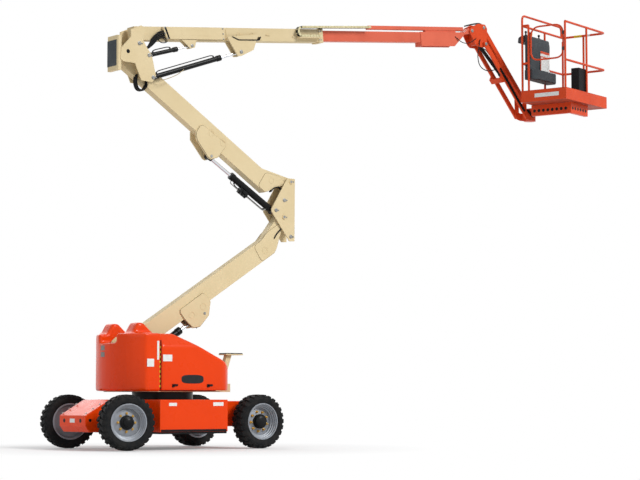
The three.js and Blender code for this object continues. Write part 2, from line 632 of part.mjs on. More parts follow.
function mainBoom() {
  const half = BOOM_HALF_WIDTH;
  const low = BOOM_MIDDLE - BOOM_DEPTH / 2;
  const high = BOOM_MIDDLE + BOOM_DEPTH / 2;
  const outer = slab(spots(boomFrame, [[-30, low], [BOOM_LENGTH, low], [BOOM_LENGTH, high], [-30, high]]),
    -half, half);
  const cavity = slab(spots(boomFrame, [
    [180, low + BOOM_WALL], [BOOM_LENGTH - 99, low + BOOM_WALL],
    [BOOM_LENGTH - 99, high - BOOM_WALL], [180, high - BOOM_WALL],
  ]), -half + BOOM_WALL, half - BOOM_WALL);
  const throat = slab(spots(boomFrame, [
    [BOOM_LENGTH - 80, low - 12], [BOOM_LENGTH - 5, low - 12],
    [BOOM_LENGTH - 5, high + 8], [BOOM_LENGTH - 80, high + 8],
  ]), -half - 8, half + 8);
  const bore = slab(spots(boomFrame, [
    [BOOM_LENGTH - 100, BOOM_MIDDLE - FLY_DEPTH / 2 - RUNNING],
    [BOOM_LENGTH + 20, BOOM_MIDDLE - FLY_DEPTH / 2 - RUNNING],
    [BOOM_LENGTH + 20, BOOM_MIDDLE + FLY_DEPTH / 2 + RUNNING],
    [BOOM_LENGTH - 100, BOOM_MIDDLE + FLY_DEPTH / 2 + RUNNING],
  ]), -FLY_HALF_WIDTH - RUNNING, FLY_HALF_WIDTH + RUNNING);
  const heel = slab(spots(boomFrame, [
    [-30, low + 5], [-46, 20], [-30, -35], [0, -47], [33, -33], [47, 0], [200, low + 5],
  ]), -60, 60);
  const lug = slab(spots(boomFrame, [
    [1421, 102], [1578, -161], [1636, -160], [1847, -77], [1950, 139],
  ]), -135, -15);
  const lugGap = slab(spots(boomFrame, [
    [1380, -200], [2000, -200], [2000, low - 2], [1380, low - 2],
  ]), -115, -35);
  const lugCap = slab(spots(boomFrame, [
    [1380, low + 30], [2000, low + 30], [2000, 220], [1380, 220],
  ]), -115, -half);
  const levelLug = slab(spots(boomFrame, [[690, low + 5], [820, -60], [890, -50], [930, low + 5]]),
    -115, -35);
  const levelGap = slab(spots(boomFrame, [[650, low - 2], [650, -100], [960, -100], [960, low - 2]]),
    -104, -46);
  const shell = shape([shape([outer, throat], [cavity]), heel], [bore,
    pin(BOOM_PIN, -200, 200, PIN_RADIUS + RUNNING)]);
  const lugs = shape([lug, levelLug], [lugGap, levelGap, lugCap]);
  return shape([shell, trimmedLug(lugs, low, high)]);
}

/** Keeps of the lug plates only what is outside the boom's cavity. */
function trimmedLug(lugs, low, high) {
  const inside = slab(spots(boomFrame, [
    [100, low + BOOM_WALL], [BOOM_LENGTH, low + BOOM_WALL],
    [BOOM_LENGTH, high - BOOM_WALL], [100, high - BOOM_WALL],
  ]), -BOOM_HALF_WIDTH + BOOM_WALL, BOOM_HALF_WIDTH - BOOM_WALL);
  return shape([lugs], [inside]);
}

function boomCover() {
  const low = BOOM_MIDDLE - BOOM_DEPTH / 2;
  return slab(spots(boomFrame, [
    [455, low + 12], [1395, low + 12], [1395, low + BOOM_DEPTH - 4], [400, low + BOOM_DEPTH - 4],
  ]), -BOOM_HALF_WIDTH - 36, -BOOM_HALF_WIDTH - TOUCH);
}

function cableTrack() {
  const y0 = -BOOM_HALF_WIDTH - 75;
  const y1 = -BOOM_HALF_WIDTH - 9;
  const low = BOOM_MIDDLE - 30;
  const radius = 78;
  const thick = 34;
  const middle = low + radius;
  const u0 = 2700;
  const arc = (r) => {
    const points = [];
    for (let i = 0; i <= 8; i += 1) {
      const a = -Math.PI / 2 - (Math.PI * i) / 8;
      points.push([u0 + r * Math.cos(a), middle + r * Math.sin(a)]);
    }
    return points;
  };
  const outline = [
    [BOOM_LENGTH - 90, low], ...arc(radius), [3960, low + 2 * radius + 14],
    [3960, low + 2 * radius + 14 - thick], ...arc(radius - thick).reverse(),
    [BOOM_LENGTH - 90, low + thick],
  ];
  const strand = slab(spots(boomFrame, outline).reverse(), y0, y1);
  const shelf = slab(spots(boomFrame, [
    [2650, low - 14], [BOOM_LENGTH - 88, low - 14], [BOOM_LENGTH - 88, low + 1], [2650, low + 1],
  ]), y0, -BOOM_HALF_WIDTH - TOUCH);
  return shape([strand, shelf]);
}

// ---------------------------------------------------------------- fly boom

function flyBoom() {
  const low = BOOM_MIDDLE - FLY_DEPTH / 2;
  const high = BOOM_MIDDLE + FLY_DEPTH / 2;
  const rear = BOOM_LENGTH - FLY_HIDDEN;
  const beam = slab(spots(boomFrame, [[rear, low], [FLY_TIP, low], [FLY_TIP, high], [rear, high]]),
    -FLY_HALF_WIDTH, FLY_HALF_WIDTH);
  const hollow = slab(spots(boomFrame, [
    [rear - 5, low + 10], [FLY_TIP - 40, low + 10], [FLY_TIP - 40, high - 10], [rear - 5, high - 10],
  ]), -FLY_HALF_WIDTH + 8, FLY_HALF_WIDTH - 8);
  const head = slab(spots(boomFrame, [
    [FLY_TIP - 10, low - 57], [FLY_TIP + 640, low - 57], [FLY_TIP + 860, BOOM_MIDDLE + 50],
    [FLY_TIP + 1010, BOOM_MIDDLE + 62], [FLY_TIP + 1036, BOOM_MIDDLE + 102],
    [FLY_TIP + 1006, BOOM_MIDDLE + 142], [FLY_TIP + 930, BOOM_MIDDLE + 140],
    [FLY_TIP + 870, high + 4], [FLY_TIP - 10, high + 4],
  ]), -FLY_HALF_WIDTH - 12, FLY_HALF_WIDTH + 12);
  const headGap = slab(spots(boomFrame, [
    [FLY_TIP + 20, low - 100], [FLY_TIP + 1100, low - 100], [FLY_TIP + 1100, BOOM_MIDDLE + 50],
    [FLY_TIP + 20, high - 12],
  ]), -FLY_HALF_WIDTH, FLY_HALF_WIDTH);
  return shape([shape([beam], [hollow]), shape([head], [headGap])],
    [pin(HEAD_PIN, -200, 200, 20 + RUNNING)]);
}

function cableTray() {
  const high = BOOM_MIDDLE + FLY_DEPTH / 2;
  const floor = high + 30;
  return shape([
    slab(spots(boomFrame, [
      [3973, floor], [FLY_TIP + 850, floor], [FLY_TIP + 850, floor + 55], [3973, floor + 55],
    ]), -55, 10),
    slab(spots(boomFrame, [
      [FLY_TIP + 100, high + 4 + TOUCH], [FLY_TIP + 700, high + 4 + TOUCH],
      [FLY_TIP + 700, floor + 5], [FLY_TIP + 100, floor + 5],
    ]), -50, 5),
  ]);
}

// ---------------------------------------------------------------- jib

const HEAD_HALF = 92;
const JIB_BEAM = [96, 124]; // inner and outer faces of the two jib beams
const JIB_PIN_END = 130;
const LINK_CLEAR = 75; // the link swings past the lower pins inside this half-width

function jibHead() {
  const outline = [
    [-55, -10], [-30, 45], [120, 120], [260, 120], [300, 60], [295, -190], [250, -225],
    [110, -225], [60, -190],
  ].map((d) => plus(HEAD_PIN, d)).reverse();
  const plates = [
    slab(outline, -HEAD_HALF, -HEAD_HALF + 14), slab(outline, HEAD_HALF - 14, HEAD_HALF),
  ];
  const [hx, hz] = HEAD_PIN;
  const back = box(hx + 75, hx + 100, -HEAD_HALF + 1, HEAD_HALF - 1, hz - 205, hz + 80);
  const [lx, lz] = JIB_LOWER_PIN;
  const pins = [
    pin(HEAD_PIN, -HEAD_HALF, HEAD_HALF, 20),
    pin([lx, lz], -JIB_PIN_END, -LINK_CLEAR, 22),
    pin([lx, lz], 5, JIB_PIN_END, 22),
    pin(JIB_UPPER_PIN, -HEAD_HALF, -4, 20),
  ];
  return shape([plates, back, pins]);
}

function jibArm() {
  const ends = (side) => {
    const [y0, y1] = side > 0 ? JIB_BEAM : [-JIB_BEAM[1], -JIB_BEAM[0]];
    return slab(spots(jibFrame, [
      [-38, -10], [-20, -33], [JIB_LENGTH + 20, -33], [JIB_LENGTH + 38, -10],
      [JIB_LENGTH + 38, 10], [JIB_LENGTH + 20, 33], [-20, 33], [-38, 10],
    ]), y0, y1);
  };
  const cross = slab(spots(jibFrame, [
    [560, -90], [640, -90], [640, -65], [560, -65],
  ]), -JIB_BEAM[1], JIB_BEAM[1]);
  const gussetOutline = spots(jibFrame, [[530, -20], [560, -89], [640, -89], [670, -20]]);
  const gussets = [
    slab(gussetOutline, -JIB_BEAM[1], -JIB_BEAM[0]), slab(gussetOutline, ...JIB_BEAM),
  ];
  return shape([ends(-1), ends(1), cross, gussets], [
    pin(JIB_LOWER_PIN, -200, 200, 22 + RUNNING),
    pin(ROTATOR_LOWER_PIN, -200, 200, 22 + RUNNING),
  ]);
}

function jibLink() {
  const beam = slab(spots(jibLinkFrame, [
    [-35, -15], [-20, -35], [JIB_LENGTH + 20, -35], [JIB_LENGTH + 35, -15],
    [JIB_LENGTH + 35, 15], [JIB_LENGTH + 20, 35], [-20, 35], [-35, 15],
  ]), -70, -10);
  return shape([beam], [
    pin(JIB_UPPER_PIN, -200, 200, 20 + RUNNING),
    pin(ROTATOR_UPPER_PIN, -200, 200, 20 + RUNNING),
  ]);
}

const ROTATOR_TOP = ROTATOR_LOWER_PIN[1] + 69.08076; // top of the turning housing

function rotatorMount() {
  const [lx, lz] = ROTATOR_LOWER_PIN;
  const outline = [
    [-50, 250], [-40, 285], [-10, 297], [25, 285], [34, 250], [34, 62], [60, 54], [186, 54],
    [186, -60], [60, -60], [0, -45], [-40, 0],
  ].map((d) => plus([lx, lz], d)).reverse();
  const plates = [
    slab(outline, -HEAD_HALF, -HEAD_HALF + 12), slab(outline, HEAD_HALF - 12, HEAD_HALF),
  ];
  const housing = rod([ROTATOR_X, 0, lz - 70], [ROTATOR_X, 0, ROTATOR_TOP], 88, 28);
  const web = box(lx + 86, ROTATOR_X, -HEAD_HALF + 1, HEAD_HALF - 1, lz - 50, lz + 50);
  const pins = [
    pin([lx, lz], -JIB_PIN_END, -LINK_CLEAR, 22), pin([lx, lz], LINK_CLEAR, JIB_PIN_END, 22),
    pin(ROTATOR_UPPER_PIN, -HEAD_HALF, -4, 20),
  ];
  return shape([plates, housing, web, pins]);
}

// ---------------------------------------------------------------- platform

/** The platform is modelled facing +X about its turning axis, then turned to where it stands. */
const platformEdge = 220; // from the turning axis to the platform's boom-side edge
const PX0 = platformEdge;
const PX1 = platformEdge + PLATFORM_DEPTH;
const PY = PLATFORM_WIDTH / 2;
const TOE_TOP = PLATFORM_FLOOR + 155;
const GATE_START = PX0 + 165;
const GATE_POST = GATE_START - 40;

function placed(geometry) {
  return geometry.rotateZ(rad(PLATFORM_YAW_DEG)).translate(ROTATOR_X, 0, 0);
}

function platformSupport() {
  const z0 = ROTATOR_TOP - 110;
  const top = PLATFORM_FLOOR - 20 - TOUCH;
  const nearChannel = [
    box(205, 880, -316, -304, z0, top), box(205, 880, -305, -255, z0, z0 + 10),
  ];
  const frontChannel = [
    box(868, 880, -310, 220, z0, top), box(820, 869, -310, 220, z0, z0 + 10),
  ];
  const cross = box(500, 540, -305, 60, ROTATOR_TOP + TOUCH, top);
  const arms = box(-50, 870, -60, 60, ROTATOR_TOP + TOUCH, top);
  return placed(shape([nearChannel, frontChannel, cross, arms]));
}

function platformFrame() {
  const floor = box(PX0, PX1, -PY, PY, PLATFORM_FLOOR - 20, PLATFORM_FLOOR);
  const toe = shape([box(PX0, PX1, -PY, PY, PLATFORM_FLOOR - 20, TOE_TOP)],
    [box(PX0 + 6, PX1 - 6, -PY + 6, PY - 6, PLATFORM_FLOOR - 1, TOE_TOP + 5)]);
  const r = RAIL_RADIUS;
  const top = PLATFORM_FLOOR + RAIL_HEIGHT - r;
  const middle = PLATFORM_FLOOR + MID_RAIL;
  const x0 = PX0 + r;
  const x1 = PX1 - r;
  const y = PY - r;
  const post = (px, py, z1 = top) =>
    bentTube([[px, py, PLATFORM_FLOOR - 5], [px, py, z1]], r, [1, 0, 0]);
  const hingePost = bentTube([[x1, -y, PLATFORM_FLOOR - 5], [x1, -y, top]], r, [1, 0, 0],
    false, 24);
  const posts = [
    hingePost, post(GATE_POST, -y), post(x1, 39), post(PX0 + 380, y), post(x0, y), post(x0, 60),
  ];
  const rail = (z) => bentTube([
    [GATE_POST, -y, z], [x0, -y, z], [x0, y, z], [x1, y, z], [x1, -y, z],
  ], r, [0, 0, 1]);
  const hoopTop = top + 160;
  const hoop = bentTube([
    [x0, -y, top - 5], [x0, -y, hoopTop - 60], [x0, -y + 50, hoopTop], [x0, 540, hoopTop],
    [x0, 590, hoopTop - 60], [x0, 590, top - 5],
  ], r, [1, 0, 0]);
  return placed(shape([floor, toe, posts, rail(top), rail(middle), hoop]));
}

function gate() {
  const r = 13;
  const x0 = GATE_START;
  const x1 = PX1 - RAIL_RADIUS * 2 - r - 4;
  const y = -PY + RAIL_RADIUS;
  const z0 = PLATFORM_FLOOR + MID_RAIL + RAIL_RADIUS + r + 6;
  const z1 = PLATFORM_FLOOR + RAIL_HEIGHT - 2 * RAIL_RADIUS - r - 6;
  const bend = 110;
  const corners = [[x0, z0], [x1, z0], [x1, z1], [x0, z1]];
  const points = [];
  corners.forEach(([cx, cz], i) => {
    const sx = i === 0 || i === 3 ? 1 : -1;
    const sz = i < 2 ? 1 : -1;
    for (let k = 0; k <= 3; k += 1) {
      const first = [Math.PI, 1.5 * Math.PI, 0, 0.5 * Math.PI][i];
      const a = first + (Math.PI / 2) * (k / 3);
      points.push([cx + sx * bend + bend * Math.cos(a), y, cz + sz * bend + bend * Math.sin(a)]);
    }
  });
  const loop = bentTube(points, r, [0, 1, 0], true);
  const hinge = [z0 + 130, z1 - 130].map((z) =>
    box(x1 - 5, PX1 - 2 * RAIL_RADIUS - TOUCH, y - 9, y + 9, z - 22, z + 22));
  return placed(shape([loop, hinge]));
}

const CONSOLE_Y = [-590, 0];
const INSIDE_RAIL = PX0 + 2 * RAIL_RADIUS + TOUCH; // inner side of the boom-side rail

function controlConsole() {
  const low = PLATFORM_FLOOR + 480 + TOUCH;
  const split = PLATFORM_FLOOR + 900; // the head overhangs the rail above this height
  const outline = [
    [INSIDE_RAIL, low], [345, low], [360, split - 60], [360, split], [345, split + 90],
    [200, split + 115], [140, split + 80], [130, split + 2], [INSIDE_RAIL, split + 2],
  ];
  return placed(shape([slab(outline, ...CONSOLE_Y)]));
}

function consoleTray() {
  const z0 = PLATFORM_FLOOR + 330;
  const [y0, y1] = CONSOLE_Y;
  return placed(shape([deck([
    [INSIDE_RAIL, y0 - 15], [390, y0 - 15], [450, y0 + 60], [450, y1 + 20], [400, y1 + 90],
    [INSIDE_RAIL, y1 + 90],
  ], z0, z0 + 150)]));
}

/** Box hung on the rails, clear of the floor. */
function documentBox() {
  const back = 2 * RAIL_RADIUS + TOUCH;
  return placed(shape([
    box(PX1 - 170, PX1 - back, -175, 110, PLATFORM_FLOOR + 60, PLATFORM_FLOOR + 510),
  ]));
}

// ---------------------------------------------------------------- hydraulic cylinders

const ROD_GUIDE = 60; // length of rod left in its barrel at full travel

/** Barrel and rod of a cylinder between two eyes in the plane y. */
function cylinderParts(cylinder) {
  const { base, eye, y, barrelRadius, rodRadius, barrelLength, eyeHalf, pinRadius = 20 } = cylinder;
  const [dx, dz] = minus(eye, base);
  const length = Math.hypot(dx, dz);
  const at = (t) => [base[0] + (dx * t) / length, y, base[1] + (dz * t) / length];
  const eyeRadius = barrelRadius * 0.95;
  const bore = pinRadius + RUNNING;
  const hidden = cylinder.travelOut + ROD_GUIDE;
  const boreDepth = hidden + cylinder.travelIn + 10;
  const barrel = shape([
    rod(at(eyeRadius * 0.5), at(barrelLength), barrelRadius, 16),
    pin(base, y - eyeHalf, y + eyeHalf, eyeRadius, 16),
    rod(at(barrelLength - 70), at(barrelLength - 5), barrelRadius + 7, 16),
  ], [
    pin(base, y - eyeHalf - 50, y + eyeHalf + 50, bore),
    rod(at(barrelLength - boreDepth), at(barrelLength + 10), rodRadius + RUNNING, 16),
  ]);
  const rodPiece = shape([
    rod(at(barrelLength - hidden), at(length - 10), rodRadius, 16),
    pin(eye, y - eyeHalf, y + eyeHalf, eyeRadius * 0.85, 16),
  ]);
  return { barrel, rodPiece };
}

const CYLINDERS = [
  {
    name: "lower_lift", on: "turntable", base: LOWER_CYLINDER_BASE, eye: LOWER_CYLINDER_EYE,
    y: TOWER_Y, barrelRadius: 46, rodRadius: 24, barrelLength: 900, eyeHalf: 44,
    travelIn: 185, travelOut: 215,
  },
  {
    name: "upper_lift", on: "mid_link", base: UPPER_CYLINDER_BASE, eye: UPPER_CYLINDER_EYE,
    y: TOWER_Y, barrelRadius: 46, rodRadius: 24, barrelLength: 830, eyeHalf: 44,
    travelIn: 260, travelOut: 300,
  },
  {
    name: "boom_lift", on: "upright", base: BOOM_CYLINDER_BASE, eye: BOOM_CYLINDER_EYE,
    y: CYLINDER_LANE, barrelRadius: 35, rodRadius: 20, barrelLength: 1180, eyeHalf: 32,
    travelIn: 165, travelOut: 520,
  },
  {
    name: "level", on: "upright", base: LEVEL_CYLINDER_BASE, eye: LEVEL_CYLINDER_EYE,
    y: CYLINDER_LANE, barrelRadius: 28, rodRadius: 12, barrelLength: 500, eyeHalf: 24,
    travelIn: 75, travelOut: 225,
  },
  {
    name: "jib_lift", on: "jib_head", base: JIB_LOWER_PIN, eye: ROTATOR_UPPER_PIN,
    y: 34, barrelRadius: 28, rodRadius: 14, barrelLength: 640, eyeHalf: 24,
    pinRadius: 22, travelIn: 10, travelOut: 500,
  },
];

// ---------------------------------------------------------------- the assembly

function buildChassis() {
  body("chassis", null);
  piece("chassis", "chassis_frame", chassisFrame(), ORANGE);
  piece("chassis", "steer_axle", steerAxle(), DARK_STEEL);
  piece("chassis", "drive_axle", driveAxle(), DARK_STEEL);
  piece("chassis", "slew_ring", slewRing(), BLACK);
  body("tie_rod", "chassis", [TIE_ROD_X, 0, TIE_ROD_Z]);
  piece("tie_rod", "tie_rod", tieRod(), DARK_STEEL);
}

/** Turns a piece about the vertical axis at [x, y], as a steered wheel is. */
const steered = (geometry, y) => geometry
  .translate(-STEER_AXLE_X, -y, 0)
  .rotateZ(rad(STEER_REST_DEG))
  .translate(STEER_AXLE_X, y, 0);

function buildWheels() {
  for (const [label, side] of [["near", -1], ["far", 1]]) {
    const kingpinY = side * KINGPIN_Y;
    const knuckle = `${label}_knuckle`;
    body(knuckle, "chassis", [STEER_AXLE_X, kingpinY, TYRE_RADIUS]);
    piece(knuckle, `${label}_steer_knuckle`, steered(steerKnuckle(side), kingpinY), DARK_STEEL);
    const out = new THREE.Vector3(0, side * (WHEEL_Y - KINGPIN_Y), 0)
      .applyAxisAngle(new THREE.Vector3(0, 0, 1), rad(STEER_REST_DEG));
    const front = `${label}_front_wheel`;
    body(front, knuckle, [STEER_AXLE_X + out.x, kingpinY + out.y, TYRE_RADIUS]);
    const at = [STEER_AXLE_X, TYRE_RADIUS];
    piece(front, `${label}_front_tyre`, steered(tyre(at, side * WHEEL_Y), kingpinY), TYRE);
    piece(front, `${label}_front_rim`,
      steered(rim(at, side * WHEEL_Y, side, 74, 78), kingpinY), RIM);
    const rear = `${label}_rear_wheel`;
    const rearAt = [DRIVE_AXLE_X, TYRE_RADIUS];
    body(rear, "chassis", [DRIVE_AXLE_X, side * WHEEL_Y, TYRE_RADIUS]);
    piece(rear, `${label}_rear_tyre`, tyre(rearAt, side * WHEEL_Y), TYRE);
    piece(rear, `${label}_rear_rim`, rim(rearAt, side * WHEEL_Y, side, 100, 104), RIM);
  }
}

function buildTurntable() {
  body("turntable", "chassis", [0, 0, TURNTABLE_BOTTOM]);
  piece("turntable", "turntable_frame", turntableFrame(), CREAM);
  piece("turntable", "tail_casting", tailCasting(), ORANGE);
  piece("turntable", "boom_rest", boomRest(), CREAM);
  for (const [label, side] of [["near", -1], ["far", 1]]) {
    piece("turntable", `${label}_battery_block`, batteryBlock(side), BLACK);
    const hood = `${label}_hood`;
    body(hood, "turntable", [0, side * ARM_SLOT, SHOULDER_HEIGHT]);
    piece(hood, `${label}_front_hood`, frontHood(side), ORANGE);
  }
}

function buildTower() {
  body("lower_arm", "turntable", yPin(LOWER_ARM_PIN));
  piece("lower_arm", "lower_arm", lowerArm(), CREAM);
  body("mid_link", "lower_arm", yPin(MID_LOWER_PIN));
  piece("mid_link", "mid_link", midLink(), CREAM);
  body("upper_arm", "mid_link", yPin(MID_UPPER_PIN));
  piece("upper_arm", "upper_arm", upperArm(), CREAM);
  body("upright", "upper_arm", yPin(TOWER_TOP_PIN));
  piece("upright", "upright", upright(), CREAM);
}

function buildBoom() {
  body("main_boom", "upright", yPin(BOOM_PIN));
  piece("main_boom", "main_boom", mainBoom(), CREAM);
  piece("main_boom", "boom_cover", boomCover(), CREAM);
  body("cable_track", "main_boom", yPin(boomFrame(BOOM_LENGTH, BOOM_MIDDLE)));
  piece("cable_track", "cable_track", cableTrack(), BLACK);
  body("fly_boom", "main_boom", yPin(boomFrame(BOOM_LENGTH, BOOM_MIDDLE)));
  piece("fly_boom", "fly_boom", flyBoom(), SALMON);
  piece("fly_boom", "cable_tray", cableTray(), SALMON);
}

function buildJib() {
  body("jib_head", "fly_boom", yPin(HEAD_PIN));
  piece("jib_head", "jib_head", jibHead(), SALMON);
  body("jib", "jib_head", yPin(JIB_LOWER_PIN));
  piece("jib", "jib_arm", jibArm(), SALMON);
  body("jib_link", "jib_head", yPin(JIB_UPPER_PIN));
  piece("jib_link", "jib_link", jibLink(), SALMON);
  body("rotator", "jib", yPin(ROTATOR_LOWER_PIN));
  piece("rotator", "rotator_mount", rotatorMount(), SALMON);
}

function buildPlatform() {
  body("platform", "rotator", [ROTATOR_X, 0, PLATFORM_FLOOR]);
  piece("platform", "platform_support", platformSupport(), ORANGE);
  piece("platform", "platform_frame", platformFrame(), ORANGE);
  piece("platform", "control_console", controlConsole(), GREY);
  piece("platform", "console_tray", consoleTray(), GREY);
  piece("platform", "document_box", documentBox(), BLACK);
  const hinge = new THREE.Vector3(PX1 - RAIL_RADIUS, -PY + RAIL_RADIUS, 0)
    .applyAxisAngle(new THREE.Vector3(0, 0, 1), rad(PLATFORM_YAW_DEG));
  body("gate", "platform", [ROTATOR_X + hinge.x, hinge.y, PLATFORM_FLOOR]);
  piece("gate", "entry_gate", gate(), ORANGE);
}

function buildCylinders() {
  for (const cylinder of CYLINDERS) {
    const { barrel, rodPiece } = cylinderParts(cylinder);
    const { name, on, base, eye, y } = cylinder;
    body(`${name}_barrel`, on, [base[0], y, base[1]]);
    piece(`${name}_barrel`, `${name}_barrel`, barrel, BLACK);
    body(`${name}_rod`, `${name}_barrel`, [eye[0], y, eye[1]]);
    piece(`${name}_rod`, `${name}_rod`, rodPiece, CHROME);
  }
}

buildChassis();
buildWheels();
buildTurntable();
buildTower();
buildBoom();
buildJib();
buildPlatform();
buildCylinders();

lift.updateMatrixWorld(true);
const bounds = new THREE.Box3().setFromObject(lift, true);
lift.position.set(
  -(bounds.min.x + bounds.max.x) / 2,
  -(bounds.min.y + bounds.max.y) / 2,
  -bounds.min.z,
);

export default lift;
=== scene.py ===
"""Looks of an articulating boom lift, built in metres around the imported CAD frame."""

import json
import math

import bmesh
import bpy
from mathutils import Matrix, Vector

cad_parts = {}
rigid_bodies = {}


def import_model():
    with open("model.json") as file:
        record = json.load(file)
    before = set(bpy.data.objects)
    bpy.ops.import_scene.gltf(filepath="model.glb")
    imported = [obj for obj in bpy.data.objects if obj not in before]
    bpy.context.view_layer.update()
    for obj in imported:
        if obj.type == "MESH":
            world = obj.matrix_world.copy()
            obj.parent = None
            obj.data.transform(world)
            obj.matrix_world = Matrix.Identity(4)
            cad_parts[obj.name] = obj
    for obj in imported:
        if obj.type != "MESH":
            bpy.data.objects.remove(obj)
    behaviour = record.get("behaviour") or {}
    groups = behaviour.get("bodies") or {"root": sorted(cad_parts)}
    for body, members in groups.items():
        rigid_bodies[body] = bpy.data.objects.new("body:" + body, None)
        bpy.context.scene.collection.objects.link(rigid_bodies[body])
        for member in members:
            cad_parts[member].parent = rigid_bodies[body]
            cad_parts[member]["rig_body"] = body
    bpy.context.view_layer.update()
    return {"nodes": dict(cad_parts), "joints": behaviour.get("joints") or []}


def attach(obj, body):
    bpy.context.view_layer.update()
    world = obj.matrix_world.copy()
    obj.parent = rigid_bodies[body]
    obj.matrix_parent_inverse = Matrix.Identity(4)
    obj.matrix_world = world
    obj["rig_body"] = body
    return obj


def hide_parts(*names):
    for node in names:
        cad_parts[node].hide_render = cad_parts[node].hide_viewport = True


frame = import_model()
NODES = frame["nodes"]
PIVOT = {j["name"]: Vector(j["pos_m"]) for j in frame["joints"] if j.get("pos_m")}
SWING = PIVOT["swing"]

# ---- places, from the frame's joints


def at(x, y, z):
    """Point given in millimetres from the swing axis at ground level."""
    return Vector((SWING.x + x / 1000, SWING.y + y / 1000, z / 1000))


class Arm:
    """Frame of a tilted member: u along it, y across the machine and v above it, in millimetres."""

    def __init__(self, origin, degrees):
        self.origin = Vector((origin.x, SWING.y, origin.z))
        angle = math.radians(degrees)
        self.along = Vector((math.cos(angle), 0, math.sin(angle)))
        self.up = Vector((-math.sin(angle), 0, math.cos(angle)))
        self.side = Vector((0, 1, 0))

    def __call__(self, u, y, v):
        return self.origin + self.along * (u / 1000) + self.side * (y / 1000) + self.up * (v / 1000)


LOWER = Arm(PIVOT["tower_lift"], 32.5)
UPPER = Arm(PIVOT["upper_arm_lift"], 146.4)
BOOM = Arm(PIVOT["boom_luff"], 5.7)
MID = Arm(PIVOT["mid_link_level"], 0)
UPRIGHT = Arm(PIVOT["boom_luff"], 0)
HEAD = Arm(PIVOT["jib_head_level"], 0)
JIB = Arm(PIVOT["jib_luff"], -50.7)
LINK = Arm(PIVOT["jib_link_luff"], -50.7)
ROTATOR = Arm(PIVOT["rotator_level"], 0)
PLATFORM_YAW = math.radians(-73)
FLOOR_Z = PIVOT["gate_swing"].z * 1000


def deck(x, y, z):
    """Point in the platform's own frame: x away from its turning axis, z above its floor."""
    c, s = math.cos(PLATFORM_YAW), math.sin(PLATFORM_YAW)
    axis = PIVOT["platform_rotate"]
    return Vector((
        axis.x + (x * c - y * s) / 1000, axis.y + (x * s + y * c) / 1000, (FLOOR_Z + z) / 1000,
    ))


# ---- camera, lights, floor


def add_object(name, data):
    thing = bpy.data.objects.new(name, data)
    bpy.context.scene.collection.objects.link(thing)
    return thing


class Wiring:
    """Makes and links the shader nodes of one tree."""

    def __init__(self, tree):
        self.tree = tree

    def feed(self, node, inputs):
        """Links or sets the inputs of a node, by name or number."""
        for key, value in inputs.items():
            if isinstance(value, bpy.types.NodeSocket):
                self.tree.links.new(value, node.inputs[key])
            else:
                node.inputs[key].default_value = value
        return node

    def node(self, kind, inputs=None, operation=None):
        node = self.tree.nodes.new("ShaderNode" + kind)
        if operation:
            node.operation = operation
        return self.feed(node, inputs or {})

    def product(self, a, b):
        return self.node("Math", {0: a, 1: b}, "MULTIPLY").outputs[0]

    def seen_ray(self):
        """One where the ray is a camera, glossy or transmission ray."""
        rays = self.node("LightPath").outputs
        total = rays["Is Camera Ray"]
        for ray in ("Is Glossy Ray", "Is Transmission Ray"):
            total = self.node("Math", {0: total, 1: rays[ray]}, "MAXIMUM").outputs[0]
        return total


def make_camera():
    yaw, pitch = math.radians(37.6), math.radians(4.43)
    ahead = Vector((
        math.sin(yaw) * math.cos(pitch), math.cos(yaw) * math.cos(pitch), math.sin(pitch),
    ))
    data = bpy.data.cameras.new("camera")
    data.lens = 112.5
    data.sensor_width = 36
    data.clip_end = 200
    camera = add_object("camera", data)
    camera.location = at(-14430, -22130, 700)
    camera.rotation_euler = ahead.to_track_quat("-Z", "Y").to_euler()
    bpy.context.scene.camera = camera


def sun_lamp(name, direction, spread, strength):
    """Soft sun whose light comes from `direction`, `spread` degrees wide."""
    data = bpy.data.lights.new(name, "SUN")
    data.angle = math.radians(spread)
    data.energy = strength
    lamp = add_object(name, data)
    lamp.rotation_euler = Vector(direction).to_track_quat("Z", "Y").to_euler()


def make_world():
    """Pale light on the object and pure white behind it."""
    world = bpy.data.worlds.new("studio")
    bpy.context.scene.world = world
    world.use_nodes = True
    world.node_tree.nodes.clear()
    wiring = Wiring(world.node_tree)
    soft = wiring.node("Background", {"Color": (0.93, 0.96, 1.0, 1), "Strength": 0.27})
    white = wiring.node("Background", {"Color": (1, 1, 1, 1), "Strength": 1.0})
    mix = wiring.node("MixShader", {0: wiring.seen_ray(), 1: soft.outputs[0], 2: white.outputs[0]})
    wiring.node("OutputWorld", {0: mix.outputs[0]})


def make_floor():
    """Pale floor that fades to the white backdrop away from the machine."""
    half = 40
    fade_start, fade_end, least_fade = 1.3, 3.6, 0.22
    mesh = bpy.data.meshes.new("floor")
    corners = [(-half, -half, 0), (half, -half, 0), (half, half, 0), (-half, half, 0)]
    mesh.from_pydata(corners, [], [(0, 1, 2, 3)])
    floor = add_object("floor", mesh)
    material = bpy.data.materials.new("floor_pale")
    material.use_nodes = True
    material.node_tree.nodes.clear()
    wiring = Wiring(material.node_tree)
    diffuse = wiring.node("BsdfDiffuse", {"Color": (0.9, 0.9, 0.9, 1)})
    glow = wiring.node("Emission", {"Strength": 1.0})
    position = wiring.node("NewGeometry").outputs["Position"]
    distance = wiring.node("VectorMath", {0: position, 1: at(0, 0, 0)}, "DISTANCE")
    fade = wiring.node("MapRange", {
        "Value": distance.outputs["Value"], "From Min": fade_start, "From Max": fade_end,
        "To Min": least_fade})
    shown = wiring.product(fade.outputs[0], wiring.seen_ray())
    mix = wiring.node("MixShader", {0: shown, 1: diffuse.outputs[0], 2: glow.outputs[0]})
    wiring.node("OutputMaterial", {0: mix.outputs[0]})
    mesh.materials.append(material)


